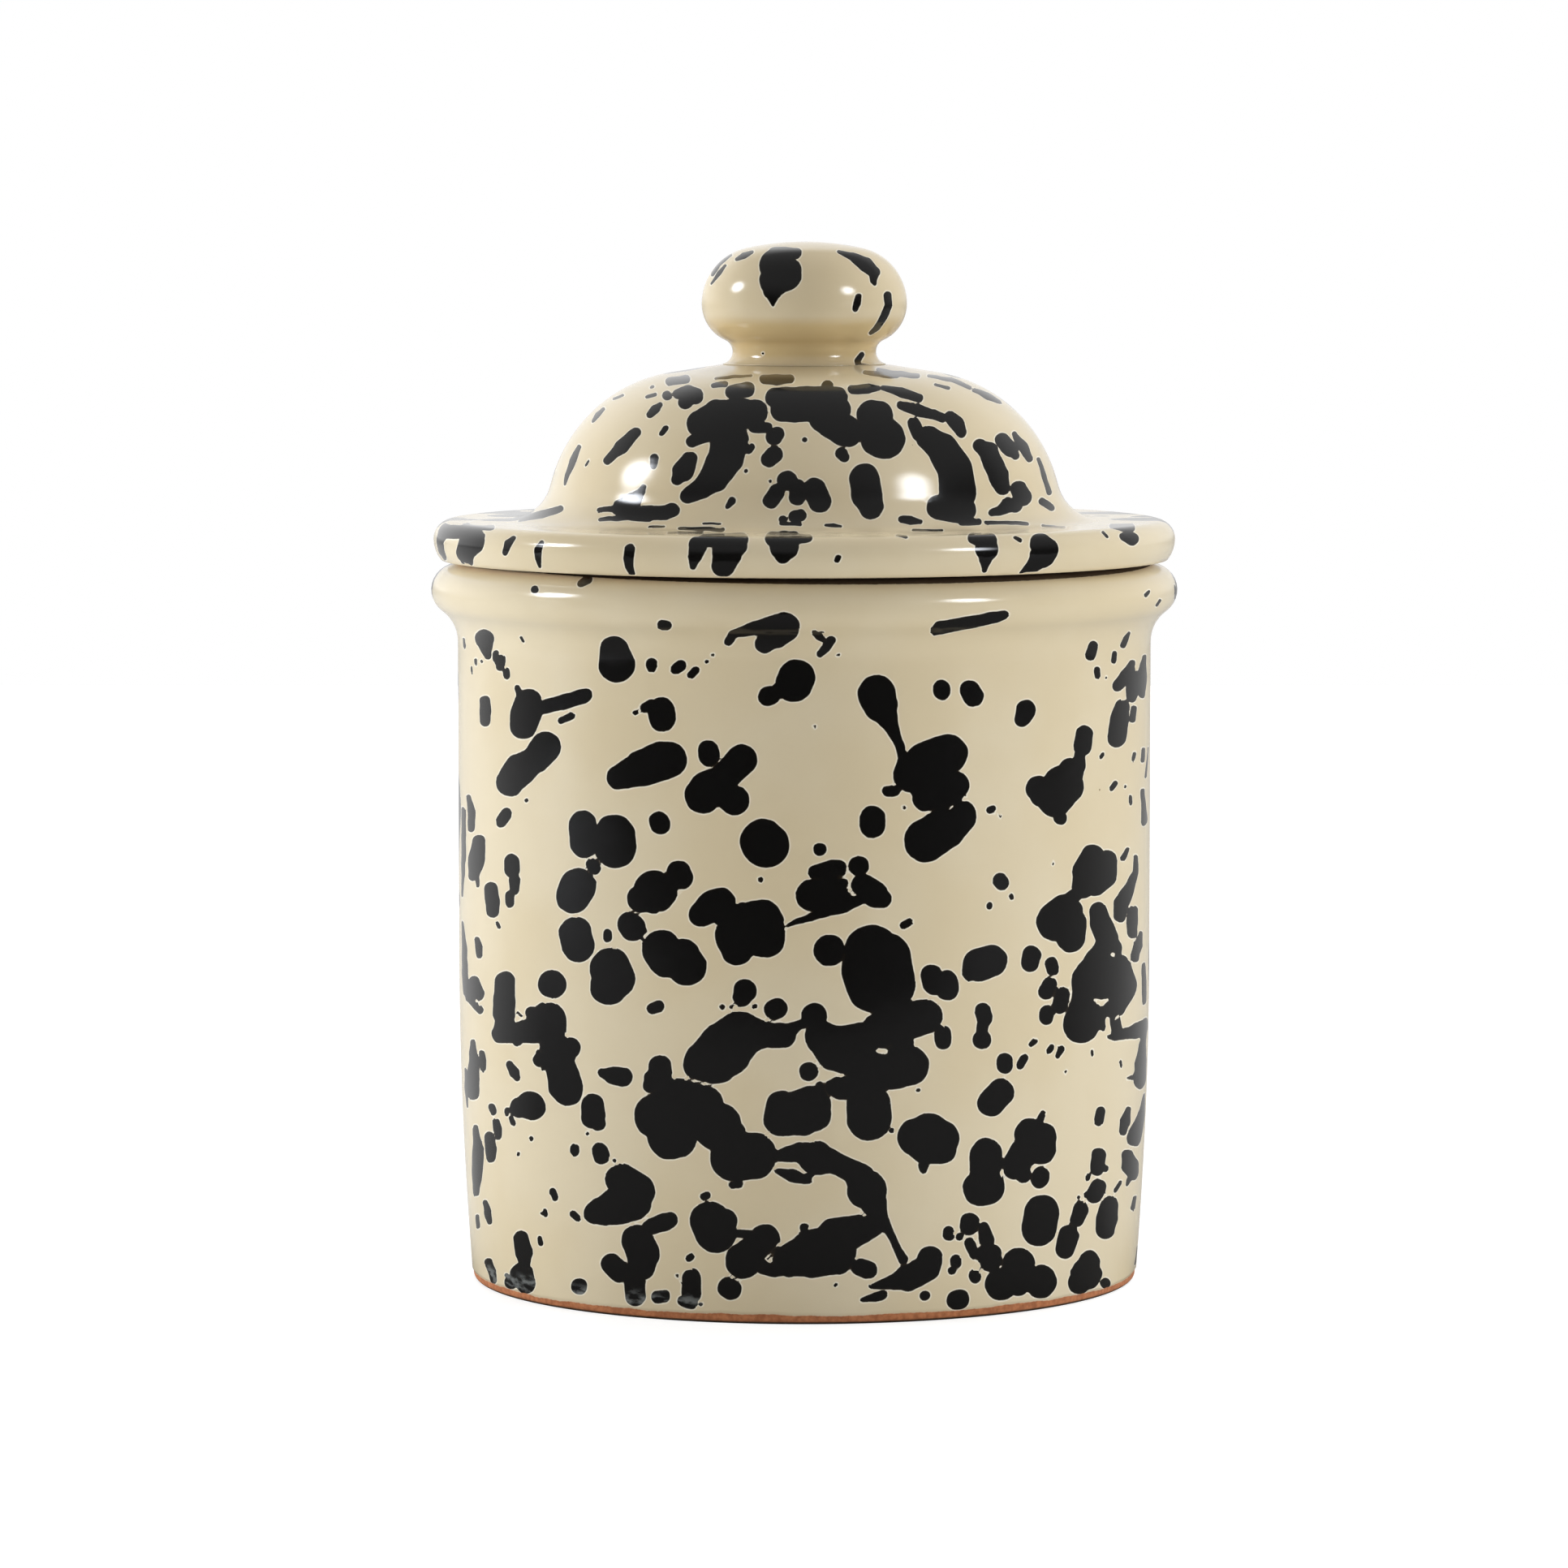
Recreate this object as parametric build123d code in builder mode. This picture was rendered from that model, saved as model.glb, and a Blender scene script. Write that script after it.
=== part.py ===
"""A thrown earthenware storage jar: the jar body, the domed lid that drops into its mouth and the lid's knob.

Sizes are in millimetres and angles in degrees. The pot's axis is Z, and its foot stands on Z = 0.
"""

import os
from math import acos, asin, cos, degrees, radians, sin, tan

from build123d import *

# Jar body, outside
jar_height = 145.0  # from the table to the land that carries the lid
body_diameter = 139.4
rim_overhang = 5.3  # how far the rolled rim stands out past the wall
rim_roll_radius = 5.0
rim_cove_radius = 8.0  # hollow under the roll, where it runs into the wall
foot_inset = 2.6  # how far the wall leans in between the taper line and the foot
taper_height = 66.0

# Jar body, inside, mouth and foot
wall_thickness = 6.2
floor_thickness = 8.0
floor_cove_radius = 12.0
mouth_edge_radius = 2.0
foot_edge_radius = 1.2
foot_ring_width = 9.0
foot_recess_depth = 1.5

# Lid flange, and the collar that drops into the mouth
flange_setback = 0.5  # how far the flange's edge stays inside the rim's
flange_thickness = 8.2
flange_bulge_height = 4.4  # height of the flange's widest line above its seat
flange_under_radius = 6.5
ledge_width = 21.5  # from the flange's edge in to the foot of the dome
collar_clearance = 1.2
collar_depth = 12.0
collar_thickness = 5.2
collar_edge_radius = 1.8

# Lid dome
crown_height = 39.4  # from the seat to the flat that carries the knob
dome_side_lean = 16.0  # of the side, from upright
crown_fall = 9.0  # of the crown, from level
shoulder_radius = 29.5
dome_cove_radius = 5.0
lid_wall_thickness = 6.5
hollow_edge_radius = 2.5
fillet_room_share = 0.95

# Knob
knob_diameter = 41.2
neck_diameter = 27.7
neck_cove_radius = 2.5
knob_base_flare = 1.8  # how far the luted base stands out past the neck
knob_under_radius = 8.0
knob_shoulder_radius = 11.4
knob_crown_radius = 54.0

quarter_turn = 90.0
cubic_mm_per_ml = 1000.0


def side_step_turn(step, first_radius, second_radius):
    """Angle that two opposite arcs each turn through to step sideways and end parallel to their start."""
    return degrees(acos(1 - step / (first_radius + second_radius)))


def corner_near(sketch, point):
    """The sketch corner that lies nearest to a point of its plane."""
    return sketch.vertices().sort_by_distance(point)[0]


# Radii and heights that the pieces share
body_radius = body_diameter / 2
bore_radius = body_radius - wall_thickness
rim_radius = body_radius + rim_overhang
foot_radius = body_radius - foot_inset
seat_height = jar_height
flange_radius = rim_radius - flange_setback
flange_top = seat_height + flange_thickness
dome_radius = flange_radius - ledge_width
crown_top = seat_height + crown_height
neck_radius = neck_diameter / 2
knob_base_radius = neck_radius + knob_base_flare

# Jar body: one turned section, with the rolled rim as two opposite arcs
rim_turn = side_step_turn(rim_overhang, rim_cove_radius, rim_roll_radius)
rim_rise = (rim_cove_radius + rim_roll_radius) * sin(radians(rim_turn))
wall_top = jar_height - rim_roll_radius - rim_rise
ring_inner_radius = foot_radius - foot_ring_width
recess_radius = ring_inner_radius - foot_recess_depth

with BuildPart() as jar_body:
    with BuildSketch(Plane.XZ) as jar_section:
        with BuildLine():
            base = Polyline(
                (0, foot_recess_depth),
                (recess_radius, foot_recess_depth),
                (ring_inner_radius, 0),
                (foot_radius, 0),
            )
            taper = TangentArc((body_radius, taper_height), base @ 1, tangent=(0, -1))
            wall = Line(taper @ 0, (body_radius, wall_top))
            cove = JernArc(wall @ 1, (0, 1), rim_cove_radius, -rim_turn)
            roll = JernArc(cove @ 1, cove % 1, rim_roll_radius, rim_turn + quarter_turn)
            Polyline(
                roll @ 1,
                (bore_radius, jar_height),
                (bore_radius, floor_thickness),
                (0, floor_thickness),
                base @ 0,
            )
        make_face()
        fillet(corner_near(jar_section, (foot_radius, 0)), foot_edge_radius)
        fillet(corner_near(jar_section, (bore_radius, jar_height)), mouth_edge_radius)
        fillet(corner_near(jar_section, (bore_radius, floor_thickness)), floor_cove_radius)
    revolve(axis=Axis.Z)
jar_body.part.label = "jar_body"

# Lid: the dome's outside and its hollow follow the same two lines, a wall apart
side_run = tan(radians(dome_side_lean))
crown_drop = tan(radians(crown_fall))
shoulder_turn = quarter_turn - dome_side_lean - crown_fall


def crown_level(inset):
    """Height of the flat crown, moved inwards by a wall."""
    return crown_top - inset / cos(radians(crown_fall))


def side_radius(height, inset):
    """Radius of the dome's side line at a height, moved inwards by a wall."""
    return dome_radius - (height - flange_top) * side_run - inset / cos(radians(dome_side_lean))


def shoulder_corner(inset):
    """Corner where the side line and the crown line of the dome would meet."""
    radius_at_crown = side_radius(crown_level(inset), inset)
    radius = (radius_at_crown - knob_base_radius * side_run * crown_drop) / (1 - side_run * crown_drop)
    return radius, crown_level(inset) - (radius - knob_base_radius) * crown_drop


def crown_length(inset):
    """Length of the crown line from the flat to the shoulder's corner, moved inwards by a wall."""
    return (shoulder_corner(inset)[0] - knob_base_radius) / cos(radians(crown_fall))


# The shoulder's rounding is limited by the side and the crown that it runs into, outside and in the hollow
shoulder = shoulder_corner(0)
cove_turn = quarter_turn - dome_side_lean
cove_reach = dome_cove_radius * tan(radians(cove_turn / 2))
side_length = (shoulder[1] - flange_top) / cos(radians(dome_side_lean))
half_turn_slope = tan(radians(shoulder_turn / 2))
side_limit = fillet_room_share * (side_length - cove_reach) / half_turn_slope
crown_limit = fillet_room_share * crown_length(0) / half_turn_slope
hollow_limit = fillet_room_share * crown_length(lid_wall_thickness) / half_turn_slope + lid_wall_thickness
outer_shoulder_radius = min(shoulder_radius, side_limit, crown_limit, hollow_limit)
inner_shoulder_radius = outer_shoulder_radius - lid_wall_thickness

flange_upper_radius = flange_thickness - flange_bulge_height
flange_under_turn = degrees(asin(flange_bulge_height / flange_under_radius))
flange_under_inset = flange_under_radius * (1 - cos(radians(flange_under_turn)))
flange_under_edge = (flange_radius - flange_under_inset, seat_height)
flange_bulge = (flange_radius, seat_height + flange_bulge_height)
collar_radius = bore_radius - collar_clearance
collar_inner_radius = collar_radius - collar_thickness
collar_bottom = seat_height - collar_depth
hollow_mouth = (side_radius(seat_height, lid_wall_thickness), seat_height)
hollow_shoulder = shoulder_corner(lid_wall_thickness)
hollow_crown = crown_level(lid_wall_thickness)

with BuildPart() as lid:
    with BuildSketch(Plane.XZ) as lid_section:
        with BuildLine():
            seat = Line((0, seat_height), flange_under_edge)
            under_edge = TangentArc(flange_bulge, seat @ 1, tangent=(0, -1))
            upper_edge = JernArc(under_edge @ 0, (0, 1), flange_upper_radius, quarter_turn)
            Polyline(
                upper_edge @ 1,
                (dome_radius, flange_top),
                shoulder,
                (knob_base_radius, crown_top),
                (0, crown_top),
                seat @ 0,
            )
        make_face()
        fillet(corner_near(lid_section, (dome_radius, flange_top)), dome_cove_radius)
        fillet(corner_near(lid_section, shoulder), outer_shoulder_radius)
    revolve(axis=Axis.Z)

    with BuildSketch(Plane.XZ) as hollow_section:
        with BuildLine():
            Polyline(
                (0, seat_height),
                hollow_mouth,
                hollow_shoulder,
                (knob_base_radius, hollow_crown),
                (0, hollow_crown),
                (0, seat_height),
            )
        make_face()
        fillet(corner_near(hollow_section, hollow_shoulder), inner_shoulder_radius)
    revolve(axis=Axis.Z, mode=Mode.SUBTRACT)
    lid_circles = lid.edges().filter_by(GeomType.CIRCLE)
    hollow_edge = lid_circles.sort_by_distance((hollow_mouth[0], 0, seat_height))[0]
    fillet(hollow_edge, hollow_edge_radius)

    with BuildSketch(Plane.XZ) as collar_section:
        with BuildLine():
            Polyline(
                (collar_inner_radius, seat_height),
                (collar_inner_radius, collar_bottom),
                (collar_radius, collar_bottom),
                (collar_radius, seat_height),
                close=True,
            )
        make_face()
        fillet(collar_section.vertices().group_by(Axis.Y)[0], collar_edge_radius)
    revolve(axis=Axis.Z)
lid.part.label = "lid"

# Knob: a flattened ball on a short waisted neck, luted to the flat of the crown
knob_radius = knob_diameter / 2
base_turn = degrees(acos(1 - knob_base_flare / neck_cove_radius))
neck_turn = side_step_turn(knob_radius - neck_radius, neck_cove_radius, knob_under_radius)
knob_crown_turn = degrees(
    asin((knob_radius - knob_shoulder_radius) / (knob_crown_radius - knob_shoulder_radius))
)
base_lean = (-sin(radians(base_turn)), cos(radians(base_turn)))

with BuildPart() as lid_knob:
    with BuildSketch(Plane.XZ) as knob_section:
        with BuildLine():
            knob_seat = Line((0, crown_top), (knob_base_radius, crown_top))
            neck = JernArc(knob_seat @ 1, base_lean, neck_cove_radius, -base_turn - neck_turn)
            under = JernArc(neck @ 1, neck % 1, knob_under_radius, neck_turn)
            knob_shoulder = JernArc(
                under @ 1, (0, 1), knob_shoulder_radius, quarter_turn - knob_crown_turn
            )
            knob_crown = JernArc(knob_shoulder @ 1, knob_shoulder % 1, knob_crown_radius, knob_crown_turn)
            Line(knob_crown @ 1, knob_seat @ 0)
        make_face()
    revolve(axis=Axis.Z)
lid_knob.part.label = "lid_knob"

os.makedirs("parts", exist_ok=True)
for piece in (jar_body, lid, lid_knob):
    export_step(piece.part, f"parts/{piece.part.label}.step")
    size = piece.part.bounding_box().size
    clay = piece.part.volume / cubic_mm_per_ml
    print(f"{piece.part.label}: {size.X:.1f} x {size.Y:.1f} x {size.Z:.1f} mm, {clay:.1f} ml of clay")
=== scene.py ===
# %% [markdown]
# # A splashed earthenware storage jar
# The jar is thrown on a wheel in red clay, dipped in a cream glaze and splashed with black. It comes apart into
# three pieces: the pot, the domed lid that drops into its mouth, and the knob that is luted to the lid. Every one
# of them is a turned shape, so each is drawn as half a section and spun about the wheel's axis. The splashes are
# worked out on the finished surface, as a distance that the glaze material turns into colour.

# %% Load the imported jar
from math import acos, asin, ceil, cos, pi, radians, sin, tan, tau

import bmesh
import bpy
import numpy as np
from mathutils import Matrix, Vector, noise


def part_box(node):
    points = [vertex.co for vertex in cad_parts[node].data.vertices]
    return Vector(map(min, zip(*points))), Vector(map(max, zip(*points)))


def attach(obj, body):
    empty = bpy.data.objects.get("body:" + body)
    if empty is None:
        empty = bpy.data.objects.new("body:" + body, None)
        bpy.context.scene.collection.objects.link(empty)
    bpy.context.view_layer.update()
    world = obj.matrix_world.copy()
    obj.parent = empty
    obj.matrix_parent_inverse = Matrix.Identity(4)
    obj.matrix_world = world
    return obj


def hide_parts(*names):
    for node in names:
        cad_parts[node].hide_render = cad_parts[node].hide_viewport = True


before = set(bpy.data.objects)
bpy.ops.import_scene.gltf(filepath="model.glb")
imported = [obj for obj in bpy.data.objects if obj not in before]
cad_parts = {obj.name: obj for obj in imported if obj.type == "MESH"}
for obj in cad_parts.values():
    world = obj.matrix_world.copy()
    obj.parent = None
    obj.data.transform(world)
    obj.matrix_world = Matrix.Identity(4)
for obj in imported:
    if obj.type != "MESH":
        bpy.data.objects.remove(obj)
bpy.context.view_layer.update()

# %% [markdown]
# ## Sizes
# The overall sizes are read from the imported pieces, so the visual model can't drift away from them. What a box
# can't tell, such as a wall's thickness or the radius of a rounded edge, is a named value in millimetres.

# %% Overall sizes from the frame
mm = 0.001
rim_overhang = 5.3 * mm
jar_top_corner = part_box("jar_body")[1]
lid_top_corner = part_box("lid")[1]
knob_low_corner, knob_top_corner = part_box("lid_knob")
rim_radius = jar_top_corner.x
seat_height = jar_top_corner.z
flange_radius = lid_top_corner.x
knob_radius = knob_top_corner.x
crown_top = knob_low_corner.z
body_radius = rim_radius - rim_overhang
print("rim %.1f mm, seat %.1f mm up, crown %.1f mm up" % (rim_radius / mm, seat_height / mm, crown_top / mm))

# %% [markdown]
# ## The camera
# The camera stands where the photograph was taken from: about a metre and a half away and a little above the
# rim. It comes first, because the splashes are placed by where they are seen.

# %% Camera
photo_width = 1932
photo_focal = 9194
photo_axis_across = 991
eye = Vector((0, -1.5, 0.225))
aim = Vector((0, 0, 0.0997))
sensor_width = 36

camera_data = bpy.data.cameras.new("photo_camera")
camera_data.sensor_width = sensor_width
camera_data.lens = photo_focal / photo_width * sensor_width
camera_data.shift_x = (photo_width / 2 - photo_axis_across) / photo_width
camera = bpy.data.objects.new("photo_camera", camera_data)
camera.location = eye
camera.rotation_euler = (aim - eye).to_track_quat("-Z", "Y").to_euler()
bpy.context.scene.collection.objects.link(camera)
bpy.context.scene.camera = camera
print("lens %.0f mm" % camera_data.lens)

# %% [markdown]
# ## Drawing a section
# A potter's rib is a cut-out edge that the clay turns against. This pen draws such an edge in the XZ plane as a
# chain of short edges: extruding a vertex draws a straight run, and spinning a vertex about a centre draws a
# round one. A step length says how close together the points of the chain are.

# %% The pen
finest_turn = radians(12)


class Outline:
    """Half a section, drawn from point to point. Radius is X and height is Z."""

    def __init__(self, radius, height, step):
        self.mesh = bmesh.new()
        self.step = step
        self.tip = self.mesh.verts.new((radius, 0, height))

    def line_to(self, radius, height):
        start, end = self.tip.co.copy(), Vector((radius, 0, height))
        steps = max(1, ceil((end - start).length / self.step))
        for count in range(steps):
            self.tip = bmesh.ops.extrude_vert_indiv(self.mesh, verts=[self.tip])["verts"][0]
            self.tip.co = start.lerp(end, (count + 1) / steps)

    def arc(self, centre, turn):
        """Go round a centre. A turn above 0 is anticlockwise, with Z up and the radius to the right."""
        centre = Vector((centre[0], 0, centre[1]))
        length = abs(turn) * (self.tip.co - centre).length
        steps = ceil(max(length / self.step, abs(turn) / finest_turn))
        made = bmesh.ops.spin(self.mesh, geom=[self.tip], cent=centre, axis=(0, -1, 0), angle=turn, steps=steps)
        self.tip = [part for part in made["geom_last"] if isinstance(part, bmesh.types.BMVert)][0]

    def bend(self, corner, beyond, radius):
        """Draw up to a corner, round it, and end in the direction of a point beyond it."""
        corner = Vector((corner[0], corner[1]))
        start = Vector((self.tip.co.x, self.tip.co.z))
        heading = (corner - start).normalized()
        leaving = (Vector(beyond) - corner).normalized()
        turn = heading.angle_signed(leaving) * -1
        self.line_to(*(corner - heading * radius * tan(abs(turn) / 2)))
        side = Vector((-heading.y, heading.x)) * radius * (1 if turn > 0 else -1)
        self.arc(Vector((self.tip.co.x, self.tip.co.z)) + side, turn)


print("pen ready, a turn of %.0f degrees has at least one step" % (finest_turn * 180 / pi))

# %% [markdown]
# ## The pot's section
# The pot stands on a foot ring round a shallow turned recess. Its wall leans out a little up to the taper line
# and then stands straight up to a hollow and a rolled rim, which falls away outside the land that carries the
# lid and so leaves a dark slit under the lid's edge. The glaze was wiped off the foot, so the bare band is
# a glaze's thickness further in, and the glaze ends above it in a small rounded step. Inside, the bore runs down
# into a round cove and a flat floor.

# %% Pot sizes
taper_height = 66 * mm
foot_inset = 2.6 * mm
foot_radius = body_radius - foot_inset
foot_recess = 1.5 * mm
foot_ring_width = 9 * mm
foot_edge = 1.2 * mm
foot_corner = 1 * mm
band_lean = radians(4)
glaze_depth = 0.22 * mm
glaze_line = 1.85 * mm
glaze_lip_arc = radians(0.35)
roll_radius = 5 * mm
roll_drop = 0.8 * mm
land_slope = radians(20)
cove_radius = 8 * mm
wall_thickness = 6.2 * mm
bore_radius = body_radius - wall_thickness
mouth_edge = 2 * mm
floor_height = 8 * mm
floor_cove = 12 * mm
taper_radius = (taper_height**2 + foot_inset**2) / (2 * foot_inset)
rim_turn = acos(1 - rim_overhang / (cove_radius + roll_radius))
roll_height = seat_height - roll_drop - roll_radius
wall_top = roll_height - (cove_radius + roll_radius) * sin(rim_turn)
hidden_step = 6 * mm
edge_step = 0.4 * mm
rim_step = 1.2 * mm
print("wall ends %.1f mm up, under a roll of %.0f mm" % (wall_top / mm, roll_radius / mm))

# %% Pot section


def draw_pot(step):
    ring_inside = foot_radius - foot_ring_width
    taper_centre = (body_radius - taper_radius, taper_height)
    band_radius = foot_radius - glaze_depth
    pot = Outline(0, foot_recess, hidden_step)
    pot.bend((ring_inside - foot_recess, foot_recess), (ring_inside, 0), foot_corner)
    pot.bend((ring_inside, 0), (band_radius, 0), foot_corner)
    pot.bend((band_radius, 0), (band_radius + sin(band_lean), cos(band_lean)), foot_edge)
    pot.step = edge_step
    glaze_rise = glaze_line + 2 * glaze_depth
    rise_angle = asin((taper_height - glaze_rise) / taper_radius)
    pot.line_to(pot.tip.co.x + (glaze_line - pot.tip.co.z) * tan(band_lean), glaze_line)
    pot.line_to(taper_centre[0] + taper_radius * cos(rise_angle), glaze_rise)
    pot.arc(taper_centre, glaze_lip_arc)
    pot.step = step
    pot.arc(taper_centre, asin((taper_height - pot.tip.co.z) / taper_radius))
    pot.line_to(body_radius, wall_top)
    pot.step = min(step, rim_step)
    pot.arc((body_radius + cove_radius, wall_top), -rim_turn)
    pot.arc((rim_radius - roll_radius, roll_height), rim_turn + pi / 2 - land_slope)
    pot.line_to(pot.tip.co.x - (seat_height - pot.tip.co.z) / tan(land_slope), seat_height)
    pot.bend((bore_radius, seat_height), (bore_radius, 0), mouth_edge)
    pot.step = hidden_step
    pot.bend((bore_radius, floor_height), (0, floor_height), floor_cove)
    pot.line_to(0, floor_height)
    return pot


print("the glaze ends %.2f mm above the table" % (glaze_line / mm))

# %% [markdown]
# ## The lid's section
# A flange with a bulging edge rests on the rim. Above it the dome rises from a cove, leans in, and turns over a
# wide shoulder to a low crown. Underneath, a collar drops into the mouth and the dome is hollow, a wall's
# thickness inside its outside. The section is one closed loop that meets the axis at the crown and in the hollow.

# %% Lid sizes
flange_height = 8.2 * mm
bulge_height = 4.4 * mm
under_radius = 6.5 * mm
under_lift = 0.35 * mm
flange_step = 1.1 * mm
seat_inset = 5.8 * mm
seat_edge = flange_radius - seat_inset
ledge_width = 21.5 * mm
dome_radius = flange_radius - ledge_width
dome_lean = radians(16)
crown_fall = radians(9)
shoulder_radius = 29.5 * mm
dome_cove = 9 * mm
lid_wall = 6.5 * mm
hollow_edge = 2.5 * mm
knob_seat = 15.65 * mm
collar_clearance = 1.2 * mm
collar_radius = bore_radius - collar_clearance
collar_wall = 5.2 * mm
collar_drop = 12 * mm
collar_edge = 1.8 * mm
collar_corner = 0.6 * mm
flange_top = seat_height + flange_height
print("ledge %.1f mm up, dome %.1f mm in radius at its foot" % (flange_top / mm, dome_radius / mm))

# %% Lid section


def dome_shoulder(inset):
    """Where the dome's side and its crown would meet, moved inwards by a wall."""
    crown = crown_top - inset / cos(crown_fall)
    side = dome_radius - inset / cos(dome_lean) - (crown - flange_top) * tan(dome_lean)
    slopes = tan(dome_lean) * tan(crown_fall)
    radius = (side - knob_seat * slopes) / (1 - slopes)
    return radius, crown - (radius - knob_seat) * tan(crown_fall)


def draw_lid(step):
    hollow_crown = crown_top - lid_wall / cos(crown_fall)
    hollow_mouth = dome_radius - lid_wall / cos(dome_lean) + flange_height * tan(dome_lean)
    collar_inside = collar_radius - collar_wall
    collar_low = seat_height - collar_drop
    under_turn = asin((bulge_height - under_lift) / under_radius)
    lid = Outline(0, hollow_crown, hidden_step)
    lid.line_to(knob_seat, hollow_crown)
    lid.bend(dome_shoulder(lid_wall), (hollow_mouth, seat_height), shoulder_radius - lid_wall)
    lid.bend((hollow_mouth, seat_height), (collar_inside, seat_height), hollow_edge)
    lid.bend((collar_inside, seat_height), (collar_inside, collar_low), collar_corner)
    lid.bend((collar_inside, collar_low), (collar_radius, collar_low), collar_edge)
    lid.bend((collar_radius, collar_low), (collar_radius, seat_height), collar_edge)
    lid.bend((collar_radius, seat_height), (flange_radius, seat_height), collar_corner)
    lid.line_to(seat_edge, seat_height)
    lid.line_to(flange_radius - under_radius * (1 - cos(under_turn)), seat_height + under_lift)
    lid.step = min(step, flange_step)
    lid.arc((flange_radius - under_radius, seat_height + bulge_height), under_turn)
    upper_radius = flange_height - bulge_height
    lid.arc((flange_radius - upper_radius, seat_height + bulge_height), pi / 2)
    lid.step = step
    lid.bend((dome_radius, flange_top), dome_shoulder(0), dome_cove)
    lid.bend(dome_shoulder(0), (knob_seat, crown_top), shoulder_radius)
    lid.line_to(knob_seat, crown_top)
    lid.step = hidden_step
    lid.line_to(0, crown_top)
    return lid


print("dome's shoulder corner %.1f, %.1f mm" % tuple(value / mm for value in dome_shoulder(0)))

# %% [markdown]
# ## The knob's section
# The knob is a flattened ball on a waisted neck. Two opposite arcs make the neck and the ball's underside, and
# two more round it over to a low crown.

# %% Knob section
neck_radius = 14.4 * mm
knob_base = 16.4 * mm
neck_cove = 2.5 * mm
knob_under = 8 * mm
knob_shoulder = 11.4 * mm
knob_crown = 54 * mm


def draw_knob(step):
    base_turn = acos(1 - (knob_base - neck_radius) / neck_cove)
    neck_turn = acos(1 - (knob_radius - neck_radius) / (neck_cove + knob_under))
    crown_turn = asin((knob_radius - knob_shoulder) / (knob_crown - knob_shoulder))
    neck_height = crown_top + neck_cove * sin(base_turn)
    bulge = neck_height + (neck_cove + knob_under) * sin(neck_turn)
    crown_centre = bulge - (knob_crown - knob_shoulder) * cos(crown_turn)
    knob = Outline(0, crown_top, hidden_step)
    knob.line_to(knob_base, crown_top)
    knob.step = step
    knob.arc((neck_radius + neck_cove, neck_height), -base_turn - neck_turn)
    knob.arc((knob_radius - knob_under, bulge), neck_turn)
    knob.arc((knob_radius - knob_shoulder, bulge), pi / 2 - crown_turn)
    knob.arc((0, crown_centre), crown_turn)
    return knob


print("knob %.1f mm across" % (2 * knob_radius / mm))

# %% [markdown]
# ## Turning a section
# Spinning the chain of edges through a full turn gives the clay form. The ends that lie on the axis come out as
# many vertices in one place, so doubles are merged there before the faces are turned outwards.

# %% Turn
merge_distance = 0.005 * mm


def turn(outline, segments):
    clay = outline.mesh
    section = clay.verts[:] + clay.edges[:]
    bmesh.ops.spin(clay, geom=section, cent=(0, 0, 0), axis=(0, 0, 1), angle=tau, steps=segments, use_merge=True)
    on_axis = [vert for vert in clay.verts if vert.co.xy.length < merge_distance]
    bmesh.ops.remove_doubles(clay, verts=on_axis, dist=merge_distance)
    bmesh.ops.recalc_face_normals(clay, faces=clay.faces)
    return clay


print("turned ends close within %.3f mm of the axis" % (merge_distance / mm))

# %% [markdown]
# ## The splashes on the wall
# The glazer flicked black from a brush, so the drops have no order: round ones, beans, clusters that ran together
# and trails. Scattering drops at random would give the right feel but the wrong jar, so those that the photograph
# shows were read off it. Each splash is a chain of round dabs, as pixels across, pixels down and the dab's
# radius in pixels; the chain between two dabs is filled, like a brush drawn from one to the next.

# %% Wall, upper left
wall_splashes = [
    [(596.5, 787, 11.5), (599, 799, 7.5), (601, 808, 4.5)], [(571.5, 788, 1.5), (572, 797, 2)],
    [(586, 813, 1.5), (586.5, 819, 1.5)], [(593, 815, 1.8)], [(581, 823, 1.2), (581, 828, 1.2)],
    [(611, 805, 3.5), (611, 812, 4)], [(617, 813, 6), (617, 821, 5.5)], [(624, 827, 4), (624, 833, 4)],
    [(637.5, 848, 3.5), (639, 854, 3)], [(642.5, 785.5, 1.5), (645, 790, 1.5)],
    [(597.5, 864, 6.5), (598, 876, 7), (598, 888, 6.5)], [(651, 866, 17), (648, 880, 19), (645, 893, 17)],
    [(665, 873, 8), (690, 866, 8.5), (719, 858, 9), (722, 856, 7.5)], [(691, 888, 3.5), (704, 882, 4.5)],
    [(672, 921, 19), (661, 934, 17)], [(655, 938, 16), (640, 949, 20), (628, 964, 17)],
    [(757, 802, 18), (760, 818, 22.5)], [(752, 822, 14)], [(781.5, 879, 2.3), (785, 877, 2.3)],
    [(762, 958, 14.5), (790, 947, 22), (815, 938, 24), (824, 936, 22)], [(659, 726, 4.5)],
    [(716, 719, 4.5), (724, 714, 5.5)],
]
print(len(wall_splashes), "splashes")

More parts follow.
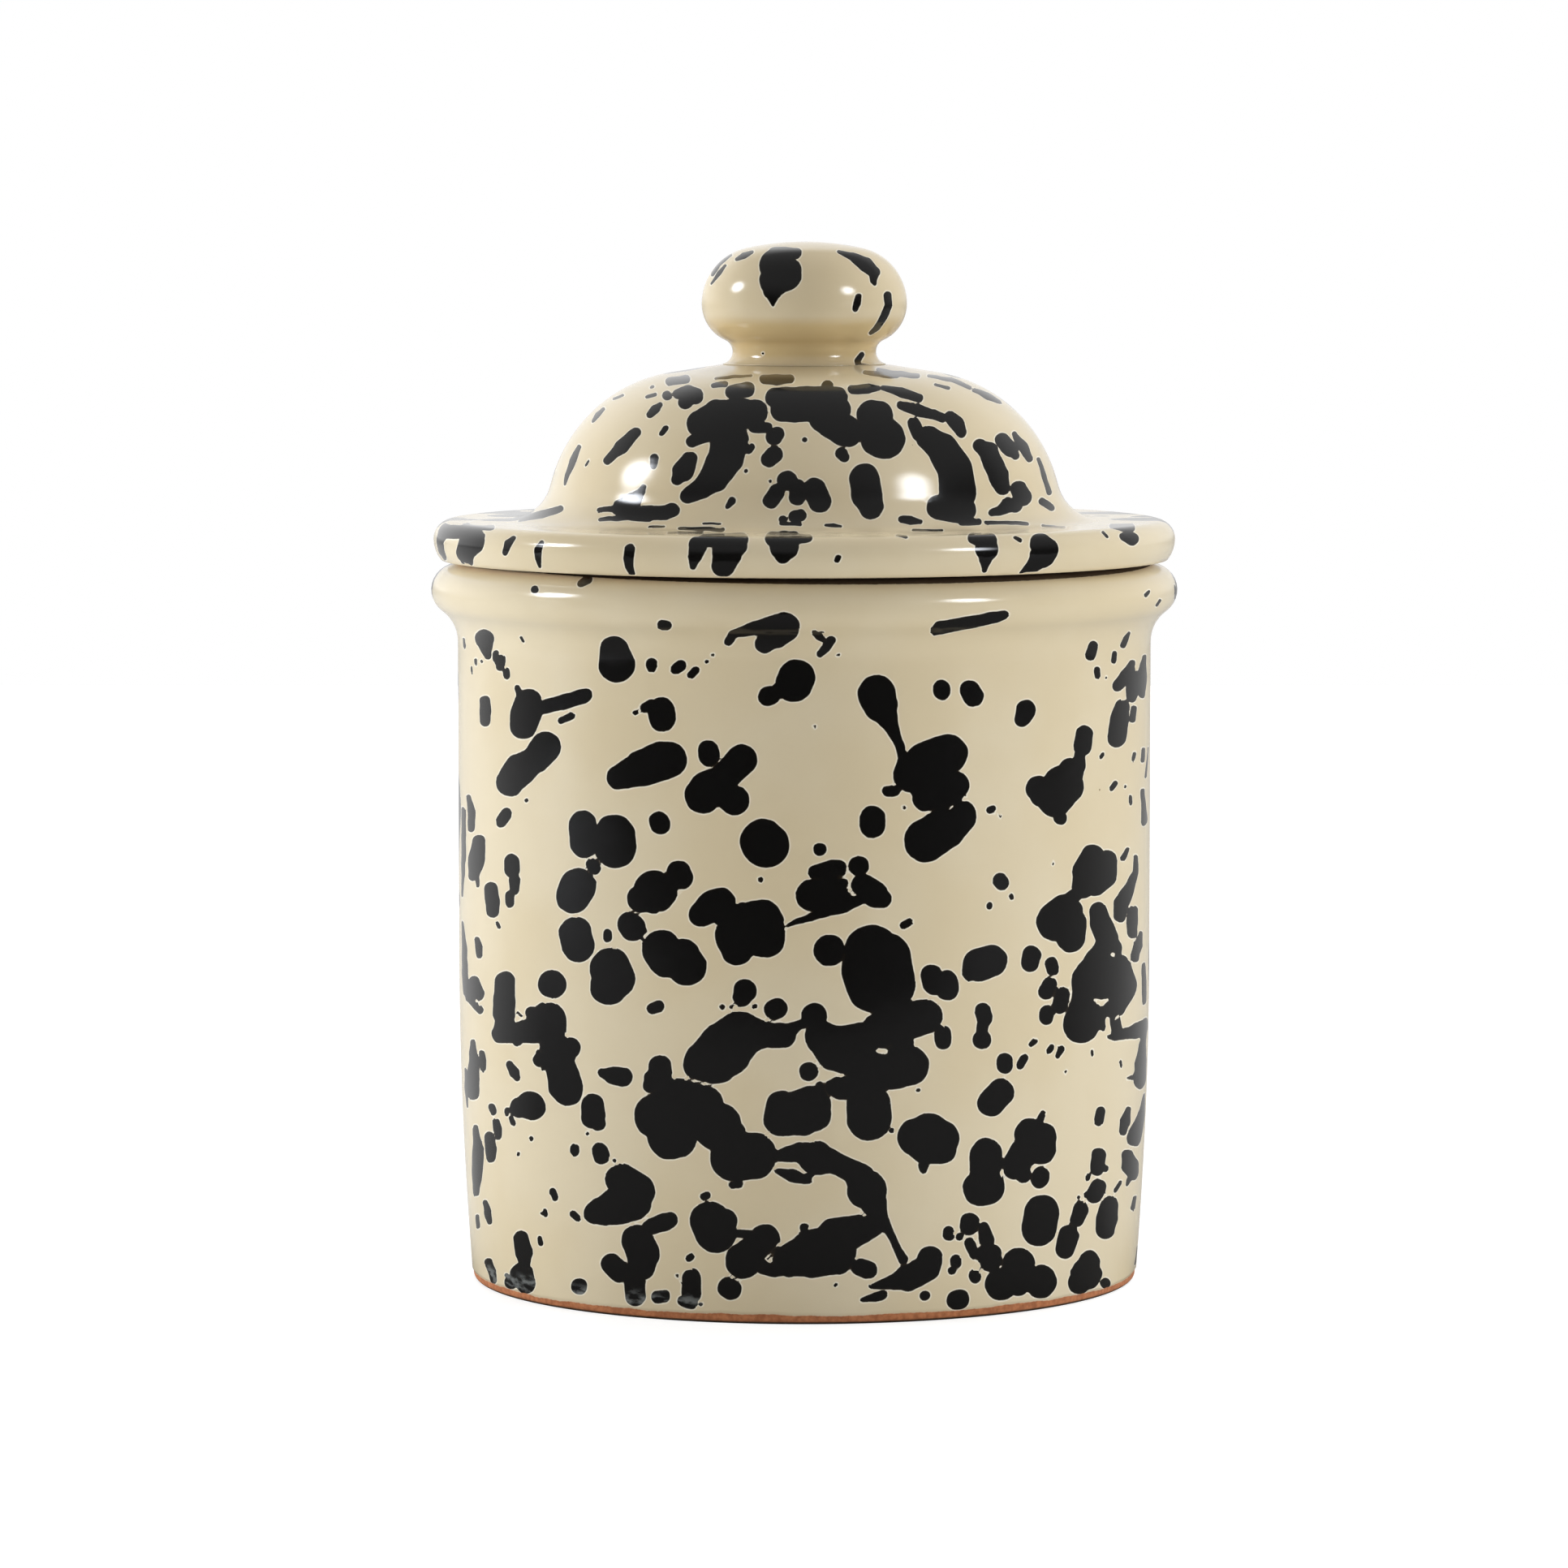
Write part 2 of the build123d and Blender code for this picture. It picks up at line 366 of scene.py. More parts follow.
# %% Wall, upper front
wall_splashes += [
    [(816, 770, 6), (821, 770.5, 6)], [(967, 773, 18), (955, 783, 16), (942, 793, 11.5)],
    [(965, 770, 15), (930, 774, 8), (905, 781, 5)], [(903, 782, 5.5), (897, 791, 4.5)],
    [(803, 818, 6.8), (803, 822, 6.5)], [(833, 824, 6.8), (839, 820, 6.5)], [(852, 831, 5), (857, 826, 4.8)],
    [(871, 815, 2.2)], [(878, 807, 1.8)], [(815, 876, 16.5), (816, 885, 16.3)], [(794, 872, 5.5), (802, 868, 6)],
    [(946, 858, 11.5), (950, 857, 11.5)], [(981, 836, 23), (978, 842, 22.5)], [(873, 925, 12.5), (874, 931, 13)],
    [(914, 936, 18.5), (893, 957, 17), (871, 974, 23), (866, 980, 22)], [(905, 986, 18), (890, 975, 16)],
    [(1004, 895, 1.8)], [(1003, 778.5, 2.5), (1009, 784, 4.5)], [(1012, 781, 3), (1013, 787, 3)],
    [(1024, 789, 5.5), (1018, 798, 5), (1010, 806, 3.5)], [(1033, 807, 1.6)],
    [(1080, 855, 23), (1085, 868, 21), (1094, 886, 12), (1103, 906, 6), (1109, 920, 5), (1113, 934, 6)],
]
print(len(wall_splashes), "splashes so far")

# %% Wall, upper right
wall_splashes += [
    [(1160, 848, 10.3), (1160.5, 852, 10.3)], [(1195, 851, 12.5), (1199, 858, 12.5)],
    [(1152, 778, 5), (1157, 772, 6)], [(1158, 774, 7.5), (1200, 766, 7.5), (1225, 761, 7), (1238, 758, 5)],
    [(1168, 929, 24), (1140, 940, 25), (1125, 950, 22)], [(1122, 955, 21), (1150, 960, 22)],
    [(1115, 935, 7), (1116, 945, 10)], [(1093, 975, 6), (1102, 974, 6.5)], [(1347, 796, 6), (1343.5, 807, 6.5)],
    [(1391, 780, 1.5), (1387, 787, 3.5), (1384, 795, 3.5)], [(1373, 806, 3), (1372, 814, 3.3)],
    [(1352, 825, 3.7), (1352, 832, 3.7)], [(1363, 835, 1.2)], [(1395, 818, 4), (1388, 833, 8), (1377, 845, 6)],
    [(1398, 835, 9), (1396, 850, 9), (1394, 858, 7)], [(1410, 810, 3), (1408, 835, 7), (1408, 856, 4)],
    [(1383, 871, 9), (1379, 888, 11.5), (1376, 909, 11.5)], [(1397, 873, 3.5), (1395, 886, 4)],
    [(1336, 905, 10.8), (1334, 920, 11)], [(1330, 932, 7), (1330, 945, 8)], [(1264, 875, 12.3), (1260, 886, 9.5)],
    [(1356.5, 933, 2), (1359, 929.5, 2)], [(1398, 929, 2), (1396, 935, 2)], [(1409, 924, 2.5), (1408, 936, 3)],
    [(1418, 925, 1.2), (1413, 957, 2)], [(1412, 733, 2), (1416, 729, 1.5)], [(1426, 746, 1.5), (1429, 740, 1.5)],
]
print(len(wall_splashes), "splashes so far")

# %% Wall, second row, left
wall_splashes += [
    [(648.5, 986.5, 2.3)], [(623.5, 1003, 7), (617.5, 1012, 7)], [(577, 982, 2.5), (581, 1000, 5), (581, 1020, 4.5)],
    [(570, 1000, 4), (570, 1060, 4), (568, 1105, 2)], [(590, 1037, 8), (587, 1058, 10.5), (584, 1078, 7)],
    [(588, 1083, 2.5), (589, 1091, 2)], [(631, 1062, 9.5), (631, 1072, 9.5)], [(634, 1085, 7), (634, 1096, 6)],
    [(628, 1103, 5.5), (628, 1112, 5.5)], [(605, 1095, 8), (607, 1110, 8.5), (607, 1123, 7.5)],
    [(613, 1137, 2), (615, 1142, 2)], [(588, 1158, 3), (590, 1167, 4.5), (591, 1177, 3.5)],
    [(718, 1016, 17), (720, 1040, 17)], [(757, 1029, 25), (758, 1043, 26)], [(730, 1065, 7.5), (733, 1070, 7.5)],
    [(712, 1092, 22), (706, 1104, 21)], [(728, 1089, 7)], [(709, 1150, 20), (712, 1165, 20)],
    [(748.5, 1150, 5), (748.5, 1155, 5)], [(776, 1139, 15.5), (780, 1144, 15.5)],
    [(752, 1193, 25), (757, 1206, 25), (750, 1215, 23)],
]
print(len(wall_splashes), "splashes so far")

# %% Wall, second row, front
wall_splashes += [
    [(812, 1012, 12), (814, 1016, 12)], [(940, 1037, 27.5), (944, 1041, 28)], [(937, 1084, 3)],
    [(790, 1107, 17), (806, 1099, 26), (815, 1098, 20)], [(836, 1075, 14.5), (840, 1082, 13.5)],
    [(864, 1127, 15), (878, 1117, 20), (888, 1112, 18)], [(930, 1137, 27), (938, 1150, 29), (946, 1158, 21)],
    [(893, 1130, 9), (915, 1128, 16)], [(941, 1130, 21), (945, 1138, 21)], [(902, 1153, 21), (908, 1169, 20)],
    [(969, 1141, 1.2), (982, 1135, 3), (1000, 1130, 4.5), (1025, 1118, 9)], [(815, 1170, 24), (822, 1180, 24)],
    [(842, 1177, 20), (846, 1190, 24)], [(1075, 1009, 15.5), (1075, 1017, 15.5)], [(1010, 1046.5, 7.5)],
    [(1004, 1075, 8), (1025, 1071, 11), (1034, 1070, 10)], [(1012, 1090, 8), (1040, 1088, 5)],
    [(1001, 1103, 20), (1028, 1107, 20)], [(1040, 1115, 9), (1060, 1108, 6)], [(1058, 1067, 12)],
    [(1063, 1090, 14), (1078, 1102, 16), (1086, 1107, 12)], [(1022, 1171, 19)],
]
print(len(wall_splashes), "splashes so far")

# %% Wall, second row, right
wall_splashes += [
    [(1140, 983, 16), (1165, 978, 22), (1177, 968, 17)], [(1140, 1036, 26), (1165, 1020, 25), (1183, 1006, 20)],
    [(1114, 995, 2)], [(1219.5, 998, 4), (1223, 997, 4)], [(1232, 1006, 1.8)],
    [(1245.5, 1104, 2.5), (1246.5, 1106, 2)], [(1219, 1115, 3.2), (1219, 1117.5, 3)],
    [(1232, 1085, 9), (1234, 1088, 9)], [(1113, 1140, 3.8), (1121, 1136, 4.2)],
    [(1074, 1173, 33), (1074, 1195, 37), (1077, 1213, 34)], [(1092, 1180, 30), (1097, 1212, 31)],
    [(1148, 1202, 13), (1151, 1212, 14)], [(1166, 1210, 14), (1167, 1218, 14)], [(1222, 1184, 19), (1206, 1189, 20)],
    [(1192, 1184, 5)], [(1190, 1198, 5), (1194, 1205, 4)], [(1280, 972, 16), (1283, 980, 14)],
    [(1320, 950, 16), (1310, 968, 25), (1300, 985, 21)], [(1307, 1008, 8)], [(1370, 971, 3), (1374, 965, 3)],
    [(1386, 969, 1.5)], [(1393, 982, 2), (1393, 990, 2)], [(1408, 975, 2.5), (1409, 990, 3), (1411, 1012, 5)],
    [(1297.5, 1063.5, 2.2)], [(1346, 1056, 15), (1340, 1075, 19), (1335, 1092, 14)],
    [(1364, 1061, 13), (1360, 1078, 16), (1350, 1090, 14)], [(1312, 1124, 22), (1300, 1136, 23)],
    [(1318, 1138, 21), (1319, 1155, 18)], [(1318, 1108, 8), (1328, 1100, 8)], [(1384, 1057, 3.5), (1389, 1047, 2.5)],
    [(1399, 1056, 2.5), (1399, 1075, 3.5), (1391, 1095, 7), (1382, 1113, 9.5), (1380, 1128, 8)],
    [(1353, 1123, 10.5), (1356, 1137, 13.5), (1364, 1155, 14)], [(1396, 1122, 6), (1395, 1138, 7), (1395, 1150, 6)],
    [(1405, 1150, 2.5), (1402, 1165, 5.5), (1398, 1180, 5)], [(1271, 1177, 11.5), (1269, 1187, 10.5)],
    [(1295, 1187, 7.5), (1297, 1194, 7.5)],
]
print(len(wall_splashes), "splashes so far")

# %% Wall, third row, left
wall_splashes += [
    [(568, 1140, 2), (571, 1165, 4.5), (572, 1205, 5), (575, 1222, 6)], [(584, 1210, 7), (590, 1225, 7.5)],
    [(580, 1228, 7), (592, 1245, 4)], [(622, 1209, 12), (621, 1230, 13.5), (621, 1250, 13.5)],
    [(620, 1262, 11), (617, 1275, 10)], [(613, 1274, 6.5)], [(617, 1274, 11), (640, 1272, 13), (665, 1268, 17)],
    [(637, 1284, 5)], [(675, 1258, 23), (678, 1268, 20)], [(655, 1248, 7.5)], [(637, 1247, 1.2), (643, 1252, 1.2)],
    [(702, 1291, 13)], [(683, 1288, 18), (690, 1310, 18), (697, 1338, 21), (699, 1343, 19)],
    [(665, 1306, 8), (663, 1296, 2.5)], [(672, 1305, 8), (680, 1303, 10)], [(670, 1316, 2.5)], [(680, 1212.5, 17.2)],
    [(628, 1312, 4.5), (634, 1322, 6), (637, 1328, 4)], [(653, 1362, 17), (656, 1364, 16)], [(640, 1365, 12)],
    [(606, 1364.5, 4), (608, 1369.5, 4)], [(625, 1368, 3), (625, 1372, 3)], [(630, 1378, 3), (632, 1384, 3.3)],
    [(611, 1382, 4), (613, 1391, 5.5), (614, 1400, 4)],
    [(582, 1284, 3), (584, 1305, 6), (583, 1330, 8), (583, 1348, 7)],
    [(594, 1298, 3.5), (595, 1307, 4.5), (595, 1316, 3.5)], [(573, 1320, 2.5), (573, 1345, 3.5), (575, 1364, 1.5)],
    [(742, 1322, 5), (754, 1325, 10), (767, 1327, 11.5)], [(730, 1362, 14), (731, 1375, 15), (737, 1384, 9)],
]
print(len(wall_splashes), "splashes so far")

# %% Wall, third row, front
wall_splashes += [
    [(804, 1243, 6.8), (811, 1240, 7)], [(918, 1221, 14), (915, 1228, 12)], [(911, 1235, 5.5)], [(889.5, 1241, 2.8)],
    [(901, 1241, 2.5)], [(930, 1240, 2.8)], [(954, 1244, 12.3), (957.5, 1242.5, 12.3)],
    [(868, 1310, 25.5), (893, 1293, 34), (911, 1275, 29)], [(868, 1310, 25.5), (884, 1311, 24)],
    [(925, 1275, 22), (945, 1275, 15.5), (966, 1276, 14.5)], [(970, 1272, 10), (984, 1263, 5.5), (995, 1260, 6)],
    [(813, 1314, 13.5), (815, 1330, 14)], [(803, 1328, 9), (801, 1338, 8)],
    [(810, 1375, 28), (840, 1362, 33), (862, 1365, 30)], [(826, 1400, 28), (830, 1398, 30)],
    [(884, 1388, 29.5), (895, 1400, 24)], [(905, 1425, 30), (928, 1424, 28.5)], [(903, 1460, 4.5), (910, 1459, 5)],
    [(867, 1475, 4.2), (871, 1473, 4.2)], [(1003, 1252, 15.5)],
    [(1012, 1278, 20), (1030, 1292, 27), (1060, 1295, 35)], [(1085, 1268, 22), (1115, 1258, 24), (1140, 1253, 21)],
    [(1112, 1285, 14)], [(1080, 1315, 28), (1105, 1315, 26), (1120, 1313, 24)],
    [(1026, 1340, 10), (1035, 1340, 14), (1060, 1340, 15), (1080, 1335, 14)], [(1070, 1362, 27), (1071, 1378, 27)],
    [(1100, 1235, 22), (1100, 1255, 22)], [(1131, 1343.5, 2.3)], [(1098.5, 1393, 3.3)],
    [(962, 1362, 18), (961, 1379, 20), (990, 1378, 21)], [(985, 1368, 24), (1000, 1362, 24), (1002, 1372, 22)],
    [(1010, 1338, 5)], [(996.5, 1320.5, 11.3)],
]
print(len(wall_splashes), "splashes so far")

# %% Wall, third row, right
wall_splashes += [
    [(1162, 1274, 10), (1162, 1282, 10)], [(1128, 1401, 22), (1145, 1398, 26), (1160, 1403, 22)],
    [(1142, 1412, 22), (1160, 1415, 19)], [(1138, 1436, 6), (1138, 1441, 4.5)],
    [(1365, 1170, 17), (1358, 1190, 24), (1350, 1210, 30)], [(1352, 1215, 31), (1345, 1235, 25), (1332, 1263, 22)],
    [(1375, 1195, 20), (1380, 1215, 21), (1372, 1238, 16)], [(1357, 1255, 5), (1358, 1265, 4.5)],
    [(1373, 1250, 6), (1376, 1268, 7)], [(1365, 1277, 1.5), (1374, 1276, 6), (1392, 1273, 7), (1410, 1268, 11)],
    [(1409, 1190, 3), (1411, 1215, 4), (1411, 1235, 4)],
    [(1412, 1275, 5), (1409, 1290, 6), (1408, 1312, 10), (1407, 1332, 10)], [(1389, 1328, 1), (1397, 1327, 3)],
    [(1293, 1214, 9.5), (1289, 1222, 9.5)], [(1309, 1226, 9.5), (1306, 1239, 9.5)],
    [(1290, 1248, 9), (1289, 1254, 8.5)], [(1211, 1246, 10), (1213, 1254, 10)], [(1211, 1262, 7), (1210, 1270, 7)],
    [(1210, 1281, 11.5)], [(1238, 1308, 10), (1238, 1313, 10)], [(1262, 1304, 4.8), (1257, 1312, 4.8)],
    [(1270, 1287, 2.5), (1275, 1283, 3)], [(1292, 1295, 3), (1296, 1290, 3.2)], [(1303, 1301, 3), (1308, 1293, 4)],
    [(1345.5, 1295, 1.5), (1346.5, 1299, 1.5)], [(1380.5, 1308, 1.3), (1381.5, 1314, 1.3)], [(1313, 1321, 2)],
    [(1221, 1359, 16.5), (1233, 1346, 16.5)], [(1356, 1370, 6), (1354, 1381, 6)],
    [(1390, 1367, 3), (1386, 1382, 6.5), (1384, 1394, 4.5)], [(1412, 1355, 3), (1408, 1380, 9), (1398, 1402, 10)],
    [(1285, 1372, 3.5), (1282, 1378, 4)], [(1270, 1398, 20), (1282, 1402, 20), (1283, 1416, 18)],
]
print(len(wall_splashes), "splashes so far")

# %% Wall, lowest row, left
wall_splashes += [
    [(708, 1415.5, 5.8), (708, 1418.5, 5.8)], [(739, 1418, 10), (741, 1424, 10)], [(757, 1429.5, 2.3)],
    [(639, 1422, 1.8)], [(654.5, 1403, 2.8)], [(724, 1397, 2)], [(681, 1468, 4), (684, 1475, 4)],
    [(678.5, 1470, 1.5)], [(671, 1491.5, 2.3), (672.5, 1496.5, 2.6)], [(667.5, 1495.5, 1.8)],
    [(706, 1495.5, 4), (712, 1501, 4)], [(665, 1525.5, 2.5), (666.5, 1532, 3)],
    [(642, 1526, 9), (646, 1543, 10.5), (646, 1556, 7)], [(643, 1570, 14), (648, 1582, 12)], [(630, 1580, 8)],
    [(625, 1572, 2.5)], [(602, 1556, 5), (606, 1566, 5), (608, 1577, 4)], [(713.5, 1585, 9.5)],
    [(598, 1482, 3), (601, 1494, 5), (603, 1505, 3.5)], [(588, 1499, 2.3), (589, 1511, 2.3)],
    [(586, 1390, 3), (589, 1415, 7), (588, 1440, 7), (587, 1470, 3.5)],
    [(603, 1401, 6), (605, 1415, 7.5), (605, 1426, 6)], [(765, 1453, 19), (785, 1468, 22)],
    [(733, 1495, 13), (741, 1489, 14.5), (752, 1485, 18)], [(733, 1495, 13), (745, 1494, 15.5)],
    [(757, 1490, 19), (780, 1482, 22)], [(800, 1512, 9), (818, 1506, 11), (826, 1503, 9)],
    [(785, 1528, 19), (793, 1545, 20), (790, 1560, 17)], [(753, 1557, 12.5), (764, 1567, 13)],
    [(782, 1580, 13), (783, 1597, 12)],
]
print(len(wall_splashes), "splashes so far")

# %% Wall, lowest row, front
wall_splashes += [
    [(875, 1505, 24.5), (882, 1518, 25.5)], [(893, 1505, 15)], [(905, 1519, 5), (925, 1521, 4.5)],
    [(942, 1528, 19), (925, 1545, 20), (916, 1553, 22)], [(849, 1550, 4), (852, 1548, 4)], [(834, 1572, 2)],
    [(863, 1607, 2)], [(852, 1575, 11.5), (852, 1593, 11.5)], [(842, 1603, 7), (853, 1606, 6.5)],
    [(810, 1598, 7.3), (818, 1597, 7.5)], [(897, 1586, 12.5), (901, 1589, 12.5)], [(1030, 1583.5, 2)],
    [(960, 1424, 7), (985, 1420, 12), (1006, 1427, 21), (1030, 1433, 13), (1052, 1444, 14)],
    [(957, 1443, 3), (975, 1448, 7.5), (990, 1452, 7), (997, 1453, 5)],
    [(1060, 1452, 18), (1068, 1466, 24), (1076, 1482, 16), (1088, 1503, 7), (1096, 1518, 5), (1106, 1538, 4.2)],
    [(1106, 1538, 4.2), (1113, 1552, 6)], [(972, 1553, 20), (1000, 1545, 29), (1025, 1540, 30)],
    [(1030, 1525, 24), (1060, 1515, 18), (1078, 1509, 13)], [(991, 1513, 5.5)], [(1033, 1553, 17)],
    [(940, 1562, 8), (955, 1566, 8)], [(1059, 1561, 10.5), (1070, 1565, 10.5)],
    [(1146, 1551, 15.5), (1142, 1563, 15.5), (1118, 1575, 16), (1100, 1580, 9), (1074, 1585, 2.5)],
    [(1062, 1602, 2), (1078, 1598, 5.5), (1088, 1595, 5.5)],
]
print(len(wall_splashes), "splashes so far")

# %% Wall, lowest row, right
wall_splashes += [
    [(1195, 1506, 11.5), (1194, 1511, 11)], [(1169, 1518, 7), (1169, 1521, 7)], [(1182.5, 1523.5, 4.8)],
    [(1178, 1553, 6.8), (1178, 1556, 6.5)], [(1173, 1565, 4.8)], [(1201, 1571, 7.3), (1202, 1573.5, 7.3)],
    [(1178, 1602, 11.5), (1182, 1601, 12)], [(1139.5, 1596.5, 6)], [(1212, 1513, 7), (1216, 1528, 9)],
    [(1219, 1546, 15), (1220, 1551, 15)], [(1195, 1532, 6.5), (1201, 1546, 6)],
    [(1262, 1420, 18), (1251, 1434, 15), (1249, 1440, 13)], [(1258, 1440, 11), (1261, 1448, 9)],
    [(1215, 1423, 20), (1214, 1440, 19)], [(1232, 1434, 6)], [(1209, 1464, 22), (1216, 1462, 22)],
    [(1282, 1449, 11), (1281, 1453, 11)], [(1284, 1494, 21.5), (1280, 1514, 21.5)],
    [(1354, 1424, 9), (1352, 1440, 8.5)], [(1362, 1440, 4)], [(1341, 1448, 3), (1340, 1452, 2.8)],
    [(1353, 1463, 10), (1348, 1472, 10)], [(1339, 1472, 3.5)], [(1329, 1476, 2.2)],
    [(1332, 1490, 9.5), (1327, 1503, 8.5)], [(1367, 1485, 11), (1364, 1500, 13.5), (1362, 1514, 12)],
    [(1317, 1522, 12.5), (1312, 1539, 11.5)], [(1374, 1467, 2), (1380, 1457, 2.2)],
    [(1389, 1424, 7), (1393, 1436, 11), (1396, 1446, 8)], [(1391, 1453, 3), (1389, 1459, 2)],
    [(1398, 1476, 2.5), (1396, 1488, 3)], [(1407, 1545, 1.5), (1403, 1562, 2.5)],
    [(1342, 1554, 13), (1338, 1570, 19), (1330, 1580, 14)], [(1346, 1570, 12)], [(1362, 1581, 6)], [(1255, 1558, 20)],
    [(1234, 1582, 20)], [(1282, 1579, 20)], [(1255, 1580, 16)],
]
print(len(wall_splashes), "splashes on the wall")

# %% [markdown]
# ## Gaps in the splashes
# Where drops ran together, slivers of cream stayed open between them. They are chains of dabs too, and are cut
# out of the black.

# %% Gaps on the wall
wall_gaps = [
    [(1170, 996, 1.4), (1175, 993, 1.4)], [(1091.5, 1207, 2.6)],
    [(1081, 1293, 2.5), (1087, 1295, 4), (1092, 1295, 3.5)], [(1371, 1176, 3)],
    [(1349, 1232, 2.5), (1357, 1236, 4.5), (1365, 1232, 2)], [(1374, 1256, 1.5), (1378, 1252, 1.5)],
    [(587, 1232, 1.5), (592, 1237, 1.5)], [(942.5, 1551, 1.2), (946, 1547.5, 1.7), (950, 1543, 0.9)],
    [(950, 1543, 0.9), (956, 1536.5, 0.8), (960, 1531, 0.8)], [(1013.5, 1339.5, 1.4)],
    [(848, 1329.5, 1.6), (865, 1334.5, 1.9), (881, 1338, 2.2)],
]
print(len(wall_gaps), "gaps on the wall")

# %% [markdown]
# ## The splashes on the lid and the knob
# The lid was splashed from the front and above. On the flat ledge the drops look like thin lines, because the
# camera is only a little above it; on the clay they are as round as the rest.

# %% Lid, left half
lid_splashes = [
    [(545, 655, 8), (541, 668, 6), (543, 680, 5), (547, 688, 3)],
    [(575, 655, 10), (581, 667, 16), (574, 680, 12), (576, 692, 7)], [(550, 655, 8), (575, 655, 8), (590, 660, 7)],
    [(568, 650, 3), (606, 650, 3)], [(632, 663, 3), (626, 670, 5), (622, 681, 3)],
    [(667, 669, 3), (663, 678, 4.5), (663, 688, 4), (665, 698, 1.5)],
    [(713, 551, 2.5), (706, 568, 4.5), (699, 585, 3), (696, 596, 1.5)], [(725, 568, 1.2), (722, 573, 1.2)],
    [(743, 504, 2), (736, 511, 3), (731, 518, 2)], [(610, 632, 2), (640, 631, 4), (655, 622, 3), (665, 610, 2)],
    [(640, 641, 2), (668, 634, 5), (690, 627, 4)], [(748, 568, 4), (765, 551, 8.5), (783, 533, 6)],
    [(801, 511, 4), (808, 504, 5.5), (813, 499, 3)], [(815.5, 534, 3), (820, 528, 3.5)],
    [(806, 565, 5), (805, 574, 4)], [(850, 566, 9.5), (842, 580, 13), (834, 591, 7)],
    [(862, 522, 16), (885, 514, 22), (915, 510, 19), (930, 508, 16)], [(853, 544, 7), (870, 536, 9)],
    [(899, 540, 23), (895, 562, 22), (880, 588, 18), (865, 601, 13), (847, 611, 9)], [(930, 525, 8), (946, 527, 6)],
    [(954, 538, 10), (957, 535, 9)], [(954, 560, 10.5), (948, 566, 10)], [(922, 555, 4), (926, 551, 4)],
    [(835, 485, 6), (848, 482, 8), (856, 488, 10)], [(845, 495, 9)], [(822, 487, 6)], [(825, 470, 5), (845, 467, 5)],
    [(903, 483, 9), (920, 480, 9.5)], [(942, 467, 5.5), (957, 468, 7), (973, 467, 5.5)],
    [(880, 475, 3), (893, 473, 4)], [(883, 466, 1.5), (905, 464, 2), (925, 463, 1.5)], [(803, 477, 2)],
    [(991, 542, 2.8)], [(919, 580, 2)], [(949, 593, 2)], [(757, 491, 1.5), (767, 487, 1.5)],
    [(798, 489, 2), (807, 487, 2)], [(896, 624, 2.5), (902, 617, 4.5)],
    [(764, 624, 8), (780, 617, 10), (790, 606, 5), (793, 600, 3)],
    [(760, 628, 6), (790, 632, 9), (820, 632, 9), (828, 629, 9)], [(738, 628, 2), (760, 627, 4)],
    [(740, 640, 2), (775, 637, 4), (800, 638, 5)], [(800, 649, 1), (818, 648.5, 1)],
    [(825, 657, 1.5), (865, 656, 1.5)], [(838, 651, 2), (890, 653, 2.5)], [(867, 645, 1.2), (887, 645.5, 1)],
    [(776, 676, 6), (774, 688, 6), (775, 698, 5), (779, 707, 3)], [(860, 672, 11), (856, 686, 8), (854, 699, 3)],
    [(868, 666, 8), (913, 665, 8.5)], [(896, 680, 18.5), (891, 697, 13.5)], [(905, 672, 15)],
    [(952, 664, 9), (978, 664, 9)], [(966, 672, 18), (965, 684, 10)], [(985, 664, 6), (996, 663, 4.5)],
    [(979, 637, 7.5), (986, 635, 7.5)], [(965, 640, 4.5)], [(963, 645, 2), (985, 646, 2)],
    [(957, 606, 9.5), (950, 617, 9.5)], [(970, 592, 12)], [(983, 601, 10), (982, 613, 9.5)],
]
lid_gaps = [[(559, 669, 2.5), (557, 680, 3)], [(557, 680, 3), (555, 692, 4)]]
print(len(lid_splashes), "splashes and", len(lid_gaps), "gaps")

